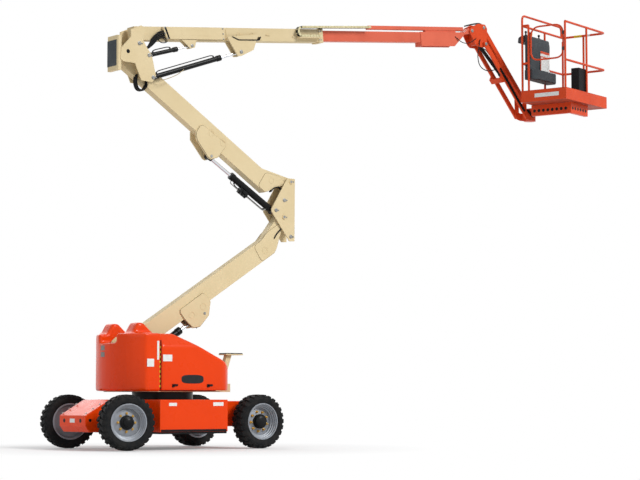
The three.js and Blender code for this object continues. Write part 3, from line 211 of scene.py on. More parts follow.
make_camera()
make_world()
make_floor()
sun_lamp("key", (0.3, -0.75, 0.6), 20, 2.3)
sun_lamp("fill", (-0.9, -0.2, 0.5), 50, 0.55)
sun_lamp("rear", (0.2, 0.9, 0.7), 50, 0.85)
bpy.context.scene.view_settings.view_transform = "Standard"

# ---- materials


def linear(channel):
    return channel / 12.92 if channel <= 0.04045 else ((channel + 0.055) / 1.055) ** 2.4


def rgba(red, green, blue):
    return (linear(red), linear(green), linear(blue), 1)


class Surface(Wiring):
    """A procedural material: mottled colour, worn edges, dust on top that on the tan paint is
    partly painted shade, grain in the gloss.
    """

    def __init__(self, name, color, roughness, metallic=0.0, coat=0.0):
        self.material = bpy.data.materials.new(name)
        self.material.use_nodes = True
        super().__init__(self.material.node_tree)
        self.shader = self.feed(self.tree.nodes["Principled BSDF"], {
            "Metallic": metallic, "Coat Weight": coat, "Coat Roughness": 0.12,
            "Specular IOR Level": 0.5 if metallic else 0.12,
        })
        self.coordinates = self.node("TexCoord").outputs["Object"]
        self.color = self.node("RGB").outputs[0]
        self.color.default_value = rgba(*color)
        self.roughness = roughness

    def noise(self, scale, detail=4.0, stretch=None):
        source = self.coordinates
        if stretch:
            source = self.node("Mapping", {"Scale": stretch, "Vector": source}).outputs[0]
        grain = {"Scale": scale, "Detail": detail, "Vector": source}
        return self.node("TexNoise", grain).outputs["Fac"]

    def ramp(self, value, low, high, to_low=0.0, to_high=1.0):
        return self.node("MapRange", {
            "Value": value, "From Min": low, "From Max": high, "To Min": to_low, "To Max": to_high,
        }).outputs[0]

    def over(self, factor, color):
        """Lays `color` over the colour so far, by `factor`."""
        mix = self.node("Mix")
        mix.data_type = "RGBA"
        self.feed(mix, {0: factor, 6: self.color, 7: rgba(*color)})
        self.color = mix.outputs[2]
        return self

    def mottle(self, scale, color, amount):
        return self.over(self.ramp(self.noise(scale), 0.42, 0.75, 0, amount), color)

    def worn(self, color, amount):
        """Rubbed edges: patches where the rounded-over normal turns away from the real one."""
        rounded = self.node("Bevel", {"Radius": 0.005})
        rounded.samples = 4
        real = self.node("NewGeometry").outputs["Normal"]
        dot = self.node("VectorMath", {0: rounded.outputs[0], 1: real}, "DOT_PRODUCT")
        edge = self.ramp(dot.outputs["Value"], 0.97, 0.85, 0, amount)
        patchy = self.ramp(self.noise(34.0, 6.0), 0.45, 0.62)
        return self.over(self.product(edge, patchy), color)

    # Colour laid in patches on faces that look upward: dust, and on the tan paint also painted
    # shade of the top faces.
    def top_dust_and_shade(self, color, amount):
        normal = self.node("NewGeometry").outputs["Normal"]
        split = self.node("SeparateXYZ", {0: normal})
        upward = self.ramp(split.outputs["Z"], 0.35, 1.0, 0, amount)
        return self.over(self.product(upward, self.ramp(self.noise(7.0, 8.0), 0.35, 0.7)), color)

    def done(self, bump=0.1, bump_scale=160.0, gloss_spread=0.08, stretch=None):
        smudge = self.ramp(
            self.noise(5.0, 6.0), 0.3, 0.7,
            max(self.roughness - gloss_spread, 0.02), self.roughness + gloss_spread,
        )
        grain = self.node("Bump", {
            "Strength": bump, "Distance": 0.002, "Height": self.noise(bump_scale, 3.0, stretch),
        })
        self.feed(self.shader, {
            "Roughness": smudge, "Base Color": self.color, "Normal": grain.outputs[0],
        })
        return self.material


ORANGE = (
    Surface("orange_gloss", (0.905, 0.255, 0.02), 0.3, coat=0.14)
    .mottle(2.2, (0.87, 0.235, 0.02), 0.5).top_dust_and_shade((0.80, 0.40, 0.22), 0.1)
    .worn((0.55, 0.16, 0.06), 0.5).done(0.05, 220)
)
# The tan paint's darker tops are dust, and partly painted shade of the top faces.
TAN = (
    Surface("tan_paint", (0.865, 0.79, 0.63), 0.55)
    .mottle(2.6, (0.83, 0.75, 0.58), 0.6).top_dust_and_shade((0.70, 0.65, 0.54), 0.55)
    .worn((0.60, 0.53, 0.42), 0.45).done(0.03, 180)
)
RED = (
    Surface("red_paint", (0.86, 0.30, 0.14), 0.38, coat=0.08)
    .mottle(3.0, (0.76, 0.25, 0.13), 0.6).top_dust_and_shade((0.86, 0.50, 0.38), 0.2)
    .worn((0.50, 0.17, 0.12), 0.5).done(0.07, 180)
)
SALMON = (
    Surface("faded_red_paint", (0.87, 0.42, 0.32), 0.4, coat=0.1)
    .mottle(3.0, (0.80, 0.36, 0.27), 0.6).top_dust_and_shade((0.88, 0.58, 0.50), 0.2)
    .worn((0.55, 0.22, 0.17), 0.5).done(0.07, 180)
)
BLACK = (
    Surface("black_paint", (0.06, 0.065, 0.07), 0.35, coat=0.05)
    .mottle(6.0, (0.13, 0.13, 0.13), 0.5).top_dust_and_shade((0.30, 0.29, 0.27), 0.3)
    .worn((0.32, 0.32, 0.33), 0.5).done(0.1, 140)
)
STEEL = (
    Surface("axle_steel", (0.14, 0.145, 0.15), 0.45, metallic=0.3)
    .mottle(8.0, (0.2, 0.17, 0.14), 0.6).top_dust_and_shade((0.34, 0.31, 0.27), 0.35)
    .worn((0.42, 0.42, 0.43), 0.5).done(0.25, 90)
)
CHROME = (
    Surface("rod_chrome", (0.86, 0.87, 0.89), 0.13, metallic=1.0)
    .mottle(40.0, (0.74, 0.75, 0.78), 0.3).done(0.04, 400, 0.05)
)
ZINC = (
    Surface("zinc_pins", (0.62, 0.62, 0.61), 0.34, metallic=0.85)
    .mottle(50.0, (0.34, 0.33, 0.31), 0.7).worn((0.70, 0.70, 0.70), 0.5).done(0.12, 260)
)
BRASS = Surface("yellow_zinc", (0.78, 0.62, 0.30), 0.3, metallic=0.9).mottle(
    60.0, (0.60, 0.45, 0.22), 0.6).done(0.1, 260)
RUBBER = (
    Surface("tyre_rubber", (0.10, 0.105, 0.11), 0.8)
    .mottle(14.0, (0.19, 0.18, 0.17), 0.6).worn((0.27, 0.26, 0.25), 0.6).done(0.45, 120)
)
RIM = (
    Surface("rim_silver", (0.56, 0.58, 0.61), 0.4, metallic=0.25)
    .mottle(12.0, (0.50, 0.50, 0.50), 0.5).worn((0.34, 0.33, 0.32), 0.4).done(0.12, 200)
)
HOSE = Surface("hose_rubber", (0.07, 0.07, 0.075), 0.5).mottle(
    30.0, (0.14, 0.14, 0.14), 0.5).done(0.3, 500, stretch=(1, 1, 6))
TAN_HOSE = Surface("tan_tube", (0.72, 0.66, 0.52), 0.45).mottle(
    20.0, (0.60, 0.54, 0.42), 0.5).done(0.1, 300)
GREY = (
    Surface("console_grey", (0.25, 0.27, 0.285), 0.55)
    .mottle(9.0, (0.31, 0.33, 0.34), 0.6).worn((0.42, 0.44, 0.45), 0.5).done(0.4, 420)
)
PLASTIC = (
    Surface("black_plastic", (0.085, 0.085, 0.09), 0.5)
    .mottle(10.0, (0.14, 0.14, 0.145), 0.5).worn((0.25, 0.25, 0.26), 0.4).done(0.35, 420)
)
LABEL = Surface("blank_plate", (0.90, 0.91, 0.90), 0.42).mottle(
    25.0, (0.82, 0.82, 0.80), 0.5).done(0.05, 300)
GREY_LABEL = Surface("blank_grey_plate", (0.55, 0.55, 0.54), 0.45).mottle(
    25.0, (0.46, 0.46, 0.45), 0.5).done(0.05, 300)
DARK_LABEL = Surface("blank_dark_plate", (0.10, 0.11, 0.12), 0.35, coat=0.3).mottle(
    25.0, (0.15, 0.16, 0.17), 0.5).done(0.05, 300)
YELLOW = Surface("yellow_plastic", (0.90, 0.74, 0.16), 0.4).mottle(
    18.0, (0.78, 0.60, 0.12), 0.5).done(0.1, 300)
CREAM_LINK = Surface("pale_link", (0.86, 0.82, 0.66), 0.42).mottle(
    22.0, (0.72, 0.67, 0.50), 0.6).worn((0.95, 0.93, 0.85), 0.4).done(0.15, 300)
DECK = (
    Surface("deck_plate", (0.70, 0.26, 0.17), 0.5)
    .mottle(7.0, (0.45, 0.27, 0.22), 0.7).worn((0.62, 0.60, 0.58), 0.8).done(0.3, 90)
)
# Tan darkened as if in shadow, for the tubes of painted shade round the doubler plates.
EDGE_SHADE = Surface("paint_in_shadow", (0.42, 0.36, 0.26), 0.7).mottle(
    30.0, (0.32, 0.27, 0.20), 0.6).done(0.2, 200)

# ---- mesh making


class Shape:
    """Gathers solids in one mesh."""

    def __init__(self):
        self.bm = bmesh.new()

    def lathe(self, start, axis, profile, segments=32, closed=False):
        """Turns [radius, distance] points about the axis that starts at `start`."""
        axis = axis.normalized()
        side = axis.orthogonal().normalized()
        other = axis.cross(side)
        rings = []
        for radius, distance in profile:
            centre = start + axis * (distance / 1000)
            if radius < 1e-6:
                rings.append([self.bm.verts.new(centre)])
                continue
            ring = []
            for i in range(segments):
                a = 2 * math.pi * i / segments
                spoke = side * math.cos(a) + other * math.sin(a)
                ring.append(self.bm.verts.new(centre + spoke * (radius / 1000)))
            rings.append(ring)
        pairs = list(zip(rings, rings[1:]))
        if closed:
            pairs.append((rings[-1], rings[0]))
        for a, b in pairs:
            for i in range(segments):
                j = (i + 1) % segments
                corners = [a[i % len(a)], a[j % len(a)], b[j % len(b)], b[i % len(b)]]
                unique = list(dict.fromkeys(corners))
                if len(unique) > 2:
                    self.bm.faces.new(unique)
        return self

    def rod(self, start, end, radius, segments=20, chamfer=1.5):
        length = (end - start).length * 1000
        c = min(chamfer, radius * 0.4, length * 0.4)
        profile = [(0, 0), (radius - c, 0), (radius, c), (radius, length - c), (radius - c, length),
                   (0, length)]
        return self.lathe(start, end - start, profile, segments)

    def prism(self, outline, offset):
        """Closed outline of points, pushed along `offset`."""
        low = [self.bm.verts.new(p) for p in outline]
        high = [self.bm.verts.new(p + offset) for p in outline]
        count = len(outline)
        self.bm.faces.new(low)
        self.bm.faces.new(list(reversed(high)))
        for i in range(count):
            j = (i + 1) % count
            self.bm.faces.new([low[i], high[i], high[j], low[j]])
        return self

    def block(self, place, u, y, v):
        """Box between u[0]..u[1], y[0]..y[1], v[0]..v[1] in the frame function `place`."""
        outline = [place(u[0], y[0], v[0]), place(u[1], y[0], v[0]),
                   place(u[1], y[0], v[1]), place(u[0], y[0], v[1])]
        return self.prism(outline, place(u[0], y[1], v[0]) - outline[0])

    def tube(self, points, radius, segments=12):
        """Round tube of `radius` millimetres along points that are already smooth."""
        side = (points[1] - points[0]).orthogonal().normalized()
        rings = []
        for i, p in enumerate(points):
            before = points[max(i - 1, 0)]
            after = points[min(i + 1, len(points) - 1)]
            ahead = (after - before).normalized()
            side = (side - ahead * side.dot(ahead)).normalized()
            other = ahead.cross(side)
            ring = []
            for k in range(segments):
                a = 2 * math.pi * k / segments
                ring.append(self.bm.verts.new(
                    p + (side * math.cos(a) + other * math.sin(a)) * (radius / 1000)))
            rings.append(ring)
        for a, b in zip(rings, rings[1:]):
            for k in range(segments):
                j = (k + 1) % segments
                self.bm.faces.new([a[k], a[j], b[j], b[k]])
        self.bm.faces.new(list(reversed(rings[0])))
        self.bm.faces.new(rings[-1])
        return self

    def ball(self, centre, radius):
        made = bmesh.ops.create_icosphere(self.bm, subdivisions=2, radius=radius / 1000)
        bmesh.ops.translate(self.bm, verts=made["verts"], vec=centre)
        return self

    def finish(self, name, body, material, slot=None, replaces=(), bevel=0.0, smooth=38):
        bmesh.ops.recalc_face_normals(self.bm, faces=self.bm.faces)
        mesh = bpy.data.meshes.new(name)
        self.bm.to_mesh(mesh)
        self.bm.free()
        return dress(mesh, name, body, material, slot, replaces, bevel, smooth)


def dress(mesh, name, body, material, slot, replaces, bevel, smooth, segments=2):
    """Makes the object of a finished mesh and ties it to the frame."""
    mesh.materials.clear()
    mesh.materials.append(material)
    mesh.shade_smooth()
    mesh.set_sharp_from_angle(angle=math.radians(smooth))
    piece = add_object(name, mesh)
    if bevel > 0:
        modifier = piece.modifiers.new("edges", "BEVEL")
        modifier.width = bevel / 1000
        modifier.segments = segments
        modifier.limit_method = "ANGLE"
        modifier.angle_limit = math.radians(28)
        modifier.harden_normals = True
    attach(piece, body)
    if replaces:
        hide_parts(*replaces)
    return piece


def cad_copy(node):
    """The CAD node's mesh as a bmesh with its flat faces whole."""
    bm = bmesh.new()
    bm.from_mesh(NODES[node].data)
    bmesh.ops.remove_doubles(bm, verts=bm.verts, dist=2e-5)
    bmesh.ops.dissolve_limit(bm, angle_limit=math.radians(0.7), verts=bm.verts, edges=bm.edges)
    return bm


def refine(node, material, slot, bevel, segments=2, smooth=35):
    """The CAD node with rounded edges and its real finish."""
    bm = cad_copy(node)
    mesh = bpy.data.meshes.new(node + "_look")
    bm.to_mesh(mesh)
    bm.free()
    body = NODES[node]["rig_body"]
    return dress(mesh, node + "_look", body, material, slot, (node,), bevel, smooth, segments)


def refine_cover(node, material, slot, voxel, rounds):
    """A moulded cover: remeshed in small cells and smoothed, so that its edges come out round."""
    piece = refine(node, material, slot, 0, smooth=180)
    cells = piece.modifiers.new("cells", "REMESH")
    cells.mode = "VOXEL"
    cells.voxel_size = voxel / 1000
    cells.use_smooth_shade = True
    soft = piece.modifiers.new("soft", "SMOOTH")
    soft.factor = 0.5
    soft.iterations = rounds
    return piece


def fillet(points, radius, steps=5):
    """Polyline with its corners rounded."""
    out = [points[0]]
    for before, corner, after in zip(points, points[1:], points[2:]):
        a, b = before - corner, after - corner
        reach = min(radius / 1000, a.length * 0.48, b.length * 0.48)
        start, end = corner + a.normalized() * reach, corner + b.normalized() * reach
        for k in range(steps + 1):
            t = k / steps
            out.append(start * (1 - t) ** 2 + corner * 2 * t * (1 - t) + end * t ** 2)
    out.append(points[-1])
    return out


def smooth_path(points, steps=8):
    """Catmull-Rom curve through the points."""
    ends = [points[0] * 2 - points[1], *points, points[-1] * 2 - points[-2]]
    out = []
    for a, b, c, d in zip(ends, ends[1:], ends[2:], ends[3:]):
        for k in range(steps):
            t = k / steps
            out.append(0.5 * (2 * b + (c - a) * t + (2 * a - 5 * b + 4 * c - d) * t * t
                              + (3 * b - a - 3 * c + d) * t ** 3))
    out.append(points[-1])
    return out


def hoses(name, body, routes, radius, material=HOSE):
    shape = Shape()
    for route in routes:
        shape.tube(smooth_path(route), radius, 10)
    return shape.finish(name, body, material, smooth=60)


def blocks(name, body, material, place, boxes, slot=None, bevel=0):
    """Piece made of boxes, each given by its three ranges in the frame function `place`."""
    shape = Shape()
    for box in boxes:
        shape.block(place, *box)
    return shape.finish(name, body, material, slot, (), bevel)


def rods(name, body, material, rows):
    """Piece made of round bars, each given by both ends, its radius and its segments."""
    shape = Shape()
    for row in rows:
        shape.rod(*row)
    return shape.finish(name, body, material)


# ---- wheels

WHEEL_MM = 355
RIM_MM = 238
LUGS = 26
LUG_EDGE_MM = 318  # radius at which a lug ends on the side wall


def build_wheel(label, row, side):
    """`side` is -1 on the near side; the wheel's outer face looks that way."""
    body = f"{label}_{row}_wheel"
    axis_joint = next(j for j in frame["joints"] if j["name"] == f"{body}_spin")
    axis = Vector(axis_joint["axis"]) * side
    centre = PIVOT[f"{body}_spin"]
    tyre = Shape()
    shoulder = WHEEL_MM - 20
    wall = [(RIM_MM + 0.5, 104), (RIM_MM + 14, 114), (262, 118), (300, 119), (LUG_EDGE_MM, 110),
            (shoulder - 4, 96), (shoulder, 80)]
    profile = [(radius, -across) for radius, across in wall] + wall[::-1]
    tyre.lathe(centre, axis, profile, 72, closed=True)
    add_lugs(tyre, centre, axis)
    tyre.finish(f"{label}_{row}_tyre_look", body, RUBBER, "tyre", (f"{label}_{row}_tyre",), 2.0)
    build_rim(label, row, centre, axis)


def add_lugs(shape, centre, axis):
    """Chunky lugs, staggered on the two halves of the tread and running down the shoulders."""
    side = axis.orthogonal().normalized()
    other = axis.cross(side)
    step = 2 * math.pi / LUGS

    def point(angle, radius, across):
        spoke = side * math.cos(angle) + other * math.sin(angle)
        return centre + spoke * (radius / 1000) + axis * (across / 1000)

    def quad(angle, lean, near, far, tapers):
        """Four corners of a lug face; near and far are its [radius, across] ends."""
        a, b = (width * t for t in tapers)
        return [point(angle - a, *near), point(angle + a, *near),
                point(angle + b + lean, *far), point(angle - b + lean, *far)]

    lean = width = 0.30 * step
    for half in (-1, 1):
        for i in range(LUGS):
            a = i * step + (step / 2 if half > 0 else 0)
            base = quad(a, lean, (330, half * 2), (328, half * 100), (1.15, 1.15))
            top = quad(a, lean, (WHEEL_MM - 2.5, half * 4), (WHEEL_MM - 5, half * 96), (1, 1))
            add_hexahedron(shape, base, top)
            a += lean
            lower = quad(a, 0, (325, half * 88), (304, half * 112), (1.1, 1))
            upper = quad(
                a, 0, (WHEEL_MM - 6, half * 93), (LUG_EDGE_MM, half * 116.5), (1, 0.9))
            add_hexahedron(shape, lower, upper)


def add_hexahedron(shape, low, high):
    a = [shape.bm.verts.new(p) for p in low]
    b = [shape.bm.verts.new(p) for p in high]
    shape.bm.faces.new(a)
    shape.bm.faces.new(b)
    for i in range(4):
        j = (i + 1) % 4
        shape.bm.faces.new([a[i], a[j], b[j], b[i]])


def build_rim(label, row, centre, axis):
    body = f"{label}_{row}_wheel"
    rim = Shape()
    profile = [
        (RIM_MM, 112), (RIM_MM, 104), (RIM_MM, -104), (RIM_MM, -112), (218, -112), (206, -60),
        (196, -44), (62, -44), (62, 6), (88, 20), (140, 12), (172, 4), (178, 10), (180, 34),
        (196, 38), (198, 58), (210, 62), (212, 84), (222, 90), (224, 112),
    ]
    rim.lathe(centre, axis, profile, 64, closed=True)
    rim.finish(f"{label}_{row}_rim_look", body, RIM, "rim_silver", (f"{label}_{row}_rim",), 1.0)
    hub = Shape()
    if row == "front":
        hub_profile = [(0, 78), (40, 78), (54, 70), (58, 52), (74, 48), (78, 40), (92, 38), (92, 6),
                       (0, 6)]
        bolt_ring, bolts = 112, 8
    else:
        hub_profile = [(0, 104), (52, 102), (78, 90), (92, 66), (96, 44), (96, 6), (0, 6)]
        bolt_ring, bolts = 128, 9
    hub.lathe(centre, axis, hub_profile, 40)
    hub.finish(f"{label}_{row}_hub", body, BLACK, "black_parts")
    nuts = Shape()
    side = axis.orthogonal().normalized()
    other = axis.cross(side)
    for i in range(bolts):
        a = 2 * math.pi * i / bolts
        spoke = (side * math.cos(a) + other * math.sin(a)) * (bolt_ring / 1000)
        foot = centre + spoke + axis * 0.008
        nuts.lathe(foot, axis, [
            (0, 0), (20, 0), (20, 8), (14, 8), (14, 26), (8, 30), (8, 42), (0, 42)], 6)
    nuts.finish(f"{label}_{row}_wheel_nuts", body, BRASS)


for label, side in (("near", -1), ("far", 1)):
    for row in ("front", "rear"):
        build_wheel(label, row, side)

# ---- refined CAD pieces

for nodes, *finish in (
    (("chassis_frame",), ORANGE, "orange_paint", 7, 3),
    (("steer_axle", "drive_axle", "tie_rod", "near_steer_knuckle", "far_steer_knuckle"),
     STEEL, "axle_steel", 3),
    (("slew_ring", "near_battery_block", "far_battery_block"), BLACK, "black_parts", 4),
    (("turntable_frame", "boom_rest", "lower_arm", "mid_link", "upper_arm", "upright", "main_boom",
      "boom_cover"), TAN, "tan_paint", 3.5),
    (("fly_boom", "cable_tray"), SALMON, "red_paint", 3),
    (("jib_head", "jib_arm", "jib_link", "rotator_mount", "platform_support"), RED, "red_paint", 3),
    (("control_console", "console_tray"), GREY, "console_grey", 12, 4),
    (("document_box",), PLASTIC, "black_plastic", 10, 4),
):
    for node in nodes:
        refine(node, *finish)

COVER_CELL_MM = 15
COVER_SMOOTHING = 22
for node in ("near_front_hood", "far_front_hood", "tail_casting"):
    refine_cover(node, ORANGE, "orange_paint", COVER_CELL_MM, COVER_SMOOTHING)

# ---- pins, bosses and bolts

TOWER_Y = 40  # middle of the tower's arms and cylinders
BOOM_CYLINDER_Y = -75
ARM_HALF = 65
LUG_HALF = 77
# where each cylinder's rod eye is on its arm, as (u, v)
LOWER_EYE = (1288, -281)
UPPER_EYE = (1247, 511)
BOOM_EYE = (1637, -103)
LEVEL_EYE = (850, -23)


def pin_head(shape, place, u, v, y, radius, out):
    """Pin end standing `out` millimetres proud of the face at y, on the side of out's sign."""
    foot = place(u, y, v)
    shape.lathe(foot, Vector((0, math.copysign(1, out), 0)), [
        (0, 0), (radius + 7, 0), (radius + 7, 4), (radius, 5), (radius, abs(out) - 2),
        (radius - 2, abs(out)), (0, abs(out)),
    ], 24)


def keeper(shape, place, u, v, y, radius, out):
    """Keeper plate beside a pin, with its two bolts."""
    sign = math.copysign(1, out)
    y0, y1 = sorted((y, y + sign * 5))
    shape.block(place, (u + radius * 0.2, u + radius * 2.4), (y0, y1), (v - 9, v + 9))
    for du in (1.5, 2.1):
        shape.lathe(place(u + radius * du, y + sign * 5, v), Vector((0, sign, 0)),
                    [(0, 0), (7, 0), (7, 5), (0, 5)], 6)


def pins(name, body, rows, kept=False):
    """Silver ends of cross pins. A row is a frame, u, v, a radius and each end's (y, out)."""
    shape = Shape()
    for place, u, v, radius, *ends in rows:
        for y, out in ends:
            pin_head(shape, place, u, v, y, radius, out)
            if kept:
                keeper(shape, place, u, v, y, radius, out)
    shape.finish(name, body, ZINC)


def build_pins():
    tower_ends = ((TOWER_Y - 115.2, -6), (TOWER_Y + 115.2, 6))
    pins("turntable_pins", "turntable", [(LOWER, 0, 0, 26, *tower_ends)])
    link_ends = ((TOWER_Y - 100.5, -12), (TOWER_Y + 100.5, 12))
    pins("mid_link_pins", "mid_link", [
        (MID, u, v, 20, *link_ends)
        for u, v in ((0, 0), (118, 497), (-139, 88), (115, -265), (5, 235))
    ], kept=True)
    pins("upright_pins", "upright", [
        (UPRIGHT, u, v, 20, (-140, -10), (140, 10)) for u, v in ((0, 0), (153, -143), (218, -431))
    ], kept=True)
    pins("jib_head_pins", "jib_head", [
        (HEAD, u, v, 18, (-y, -10), (y, 10))
        for u, v, y in ((0, 0, 92), (236, 73, 92), (246, -177, 130.5))
    ])
    lug_ends = ((TOWER_Y - LUG_HALF, -10), (TOWER_Y + LUG_HALF, 10))
    pins("lower_lug_pins", "lower_arm", [(LOWER, *LOWER_EYE, 20, *lug_ends)])
    pins("upper_lug_pins", "upper_arm", [(UPPER, *UPPER_EYE, 20, *lug_ends)])
    pins("boom_lug_pins", "main_boom", [
        (BOOM, *BOOM_EYE, 20, (-135, -10), (-15, 8)),
        (BOOM, *LEVEL_EYE, 15, (-115, -8), (-35, 8)),
    ])


def ring_boss(shape, place, u, v, y, radius, out):
    """Raised ring pressed in a plate."""
    foot = place(u, y, v)
    shape.lathe(foot, Vector((0, math.copysign(1, out), 0)), [
        (radius, 0), (radius, 2.5), (radius - 5, 4), (radius - 10, 2.5), (radius - 10, 0),
    ], 32, closed=True)


def build_bosses():
    lug_reach, arm_reach = 82, 70
    for body, place, rings in (
        ("lower_arm", LOWER, ((1100, -191, 48), (1317, -189, 48), (2610, -70, 48))),
        ("upper_arm", UPPER, ((1419, 255, 48), (1199, 247, 48), (262, 170, 44))),
    ):
        shape = Shape()
        for u, v, radius in rings:
            reach = lug_reach if 1000 < u < 1500 else arm_reach
            ring_boss(shape, place, u, v, TOWER_Y - reach, radius, -1)
            ring_boss(shape, place, u, v, TOWER_Y + reach, radius, 1)
        shape.finish(f"{body}_bosses", body, TAN, "tan_paint")
    boom = Shape()
    for u in (1643, 1866):
        ring_boss(boom, BOOM, u, 140, -86, 34, -1)
    boom.finish("boom_bosses", "main_boom", TAN, "tan_paint")
    face = (-38.5, -36.8)  # just outside the lugs' near face
    # Black discs where the lugs and the upright have open holes: painted shade inside the holes.
    rods("lower_lug_hole_shade", "lower_arm", BLACK, [(*(LOWER(1079, y, -372) for y in face), 13)])
    rods("upright_pin_hole_shade", "upright", BLACK, [
        (UPRIGHT(-173, y, -123), UPRIGHT(-173, y + 1.5, -123), 27, 28) for y in (-141.5, 140)])
    rods("upper_lug_hole_shade", "upper_arm", BLACK, [(*(UPPER(1385, y, 421) for y in face), 14)])


def doubler(name, body, place, half, corner, outline):
    """Plates on both sides of a tower arm, each ringed by a thin dark tube that is painted shade
    along its edge.
    """
    plates, edge_shade = Shape(), Shape()
    for out in (-1, 1):
        corners = [place(u, TOWER_Y + out * (half + 0.3), v) for u, v in outline]
        middle = (corners[-1] + corners[0]) / 2
        ring = fillet([middle, *corners, middle], corner, 5)[:-1]
        plates.prism(ring, Vector((0, out * 0.005, 0)))
        # Thin dark tube along the plate's edge: painted shade of the step onto the arm.
        edge_shade.tube([*ring, ring[0]], 3.2, 6)
    plates.finish(name, body, TAN, "tan_paint", (), 1)
    edge_shade.finish(name + "_joint", body, EDGE_SHADE)


doubler("lower_lug_plates", "lower_arm", LOWER, LUG_HALF, 45, [
    (992, -40), (964, -72), (974, -174), (1028, -348), (1131, -392), (1332, -336), (1454, -197),
    (1427, -35),
])
doubler("upper_lug_plates", "upper_arm", UPPER, LUG_HALF, 45, [
    (1614, 278), (1624, 380), (1568, 464), (1274, 555), (1232, 549), (1158, 464), (1136, 272),
    (1150, 230), (1572, 244),
])
doubler("lower_bracket_plates", "lower_arm", LOWER, ARM_HALF, 60, [
    (2480, -176), (2760, -176), (2900, -60), (3060, 120), (2760, 120), (2640, 74), (2480, 74),
])
doubler("upper_bracket_plates", "upper_arm", UPPER, ARM_HALF, 45, [
    (60, 60), (250, 368), (400, 368), (400, 138), (180, 40),
])
build_pins()
build_bosses()

# ---- hydraulic cylinders

CYLINDERS = (
    # name, arm, rod eye on it, y, barrel radius, rod radius, barrel length, eye half width,
    # pin radius
    ("lower_lift", LOWER, LOWER_EYE, TOWER_Y, 46, 24, 900, 44, 20),
    ("upper_lift", UPPER, UPPER_EYE, TOWER_Y, 46, 24, 830, 44, 20),
    ("boom_lift", BOOM, BOOM_EYE, BOOM_CYLINDER_Y, 35, 20, 1180, 32, 20),
    ("level", BOOM, LEVEL_EYE, BOOM_CYLINDER_Y, 28, 12, 500, 24, 20),
    ("jib_lift", LINK, (1300, 0), 34, 28, 14, 640, 24, 22),
)


def build_cylinder(name, arm, eye_at, y, r, rod_radius, n, eye_half, pin_radius):
    """`r` and `n` are the barrel's radius and length."""
    eye = arm(eye_at[0], y, eye_at[1])
    base = PIVOT[f"{name}_pivot"].copy()
    base.y = SWING.y + y / 1000
    along = (eye - base).normalized()
    length = (eye - base).length * 1000
    across = Vector((0, 1, 0))
    eye_radius = r * 0.95
    barrel = Shape()
    barrel.lathe(base, along, [
        (rod_radius + 1, n - 12), (rod_radius + 1, n), (r + 1, n), (r + 6, n - 5), (r + 6, n - 66),
        (r, n - 72), (r, 92), (r + 4, 86), (r + 4, 66), (r - 6, 52), (r * 0.7, eye_radius * 0.7),
        (0, eye_radius * 0.7),
    ], 32)
    barrel.lathe(base - across * (eye_half / 1000), across, [
        (pin_radius + 1, 0), (eye_radius, 0), (eye_radius, eye_half * 2),
        (pin_radius + 1, eye_half * 2),
    ], 28, closed=True)
    port_side = up_of(along) if y < 0 or name == "jib_lift" else -up_of(along)
    for spot in (110, n - 110):
        barrel.rod(base + along * (spot / 1000) + port_side * ((r - 4) / 1000),
                   base + along * (spot / 1000) + port_side * ((r + 16) / 1000), 11, 12)
    barrel.finish(f"{name}_barrel_look", f"{name}_barrel", BLACK, "cylinder_black",
                  (f"{name}_barrel",), 1.5)
    rod = Shape()
    rod.lathe(base, along, [
        (0, n - 260), (rod_radius, n - 260), (rod_radius, length - eye_radius * 0.7),
        (0, length - 10),
    ], 28)
    rod.finish(f"{name}_rod_look", f"{name}_rod", CHROME, "rod_chrome", (f"{name}_rod",))
    end = Shape()
    end.lathe(eye - across * (eye_half / 1000), across, [
        (pin_radius * 0.9, 0), (eye_radius * 0.84, 0), (eye_radius * 0.84, eye_half * 2),
        (pin_radius * 0.9, eye_half * 2),
    ], 28, closed=True)
    end.lathe(eye - along * (eye_radius * 1.5 / 1000), along, [
        (0, 0), (rod_radius + 6, 0), (rod_radius + 9, 8), (rod_radius + 9, eye_radius * 0.8),
        (0, eye_radius * 0.8),
    ], 24)
    end.finish(f"{name}_rod_eye", f"{name}_rod", BLACK, "cylinder_black", (), 1.5)
    pipe = Shape()
    top = port_side * ((r + 16) / 1000)
    pipe.tube(fillet([
        base + along * 0.11 + top, base + along * 0.15 + top * 1.25,
        base + along * ((n - 150) / 1000) + top * 1.25, base + along * ((n - 110) / 1000) + top,
    ], 20), 7, 10)
    pipe.finish(f"{name}_pipe", f"{name}_barrel", TAN_HOSE if name == "lower_lift" else BLACK)


def up_of(along):
    """Direction square to a cylinder in the machine's upright plane, on its upper side."""
    up = Vector((-along.z, 0, along.x))
    return up if up.z > 0 else -up


for row in CYLINDERS:
    build_cylinder(*row)

# ---- platform

PX0, PX1 = 220, 980
PY = 650
RAIL = 17
TOP_RAIL = 1143
MID_RAIL = 570


def rail_line(points, bend=70):
    return fillet([deck(*p) for p in points], bend, 6)


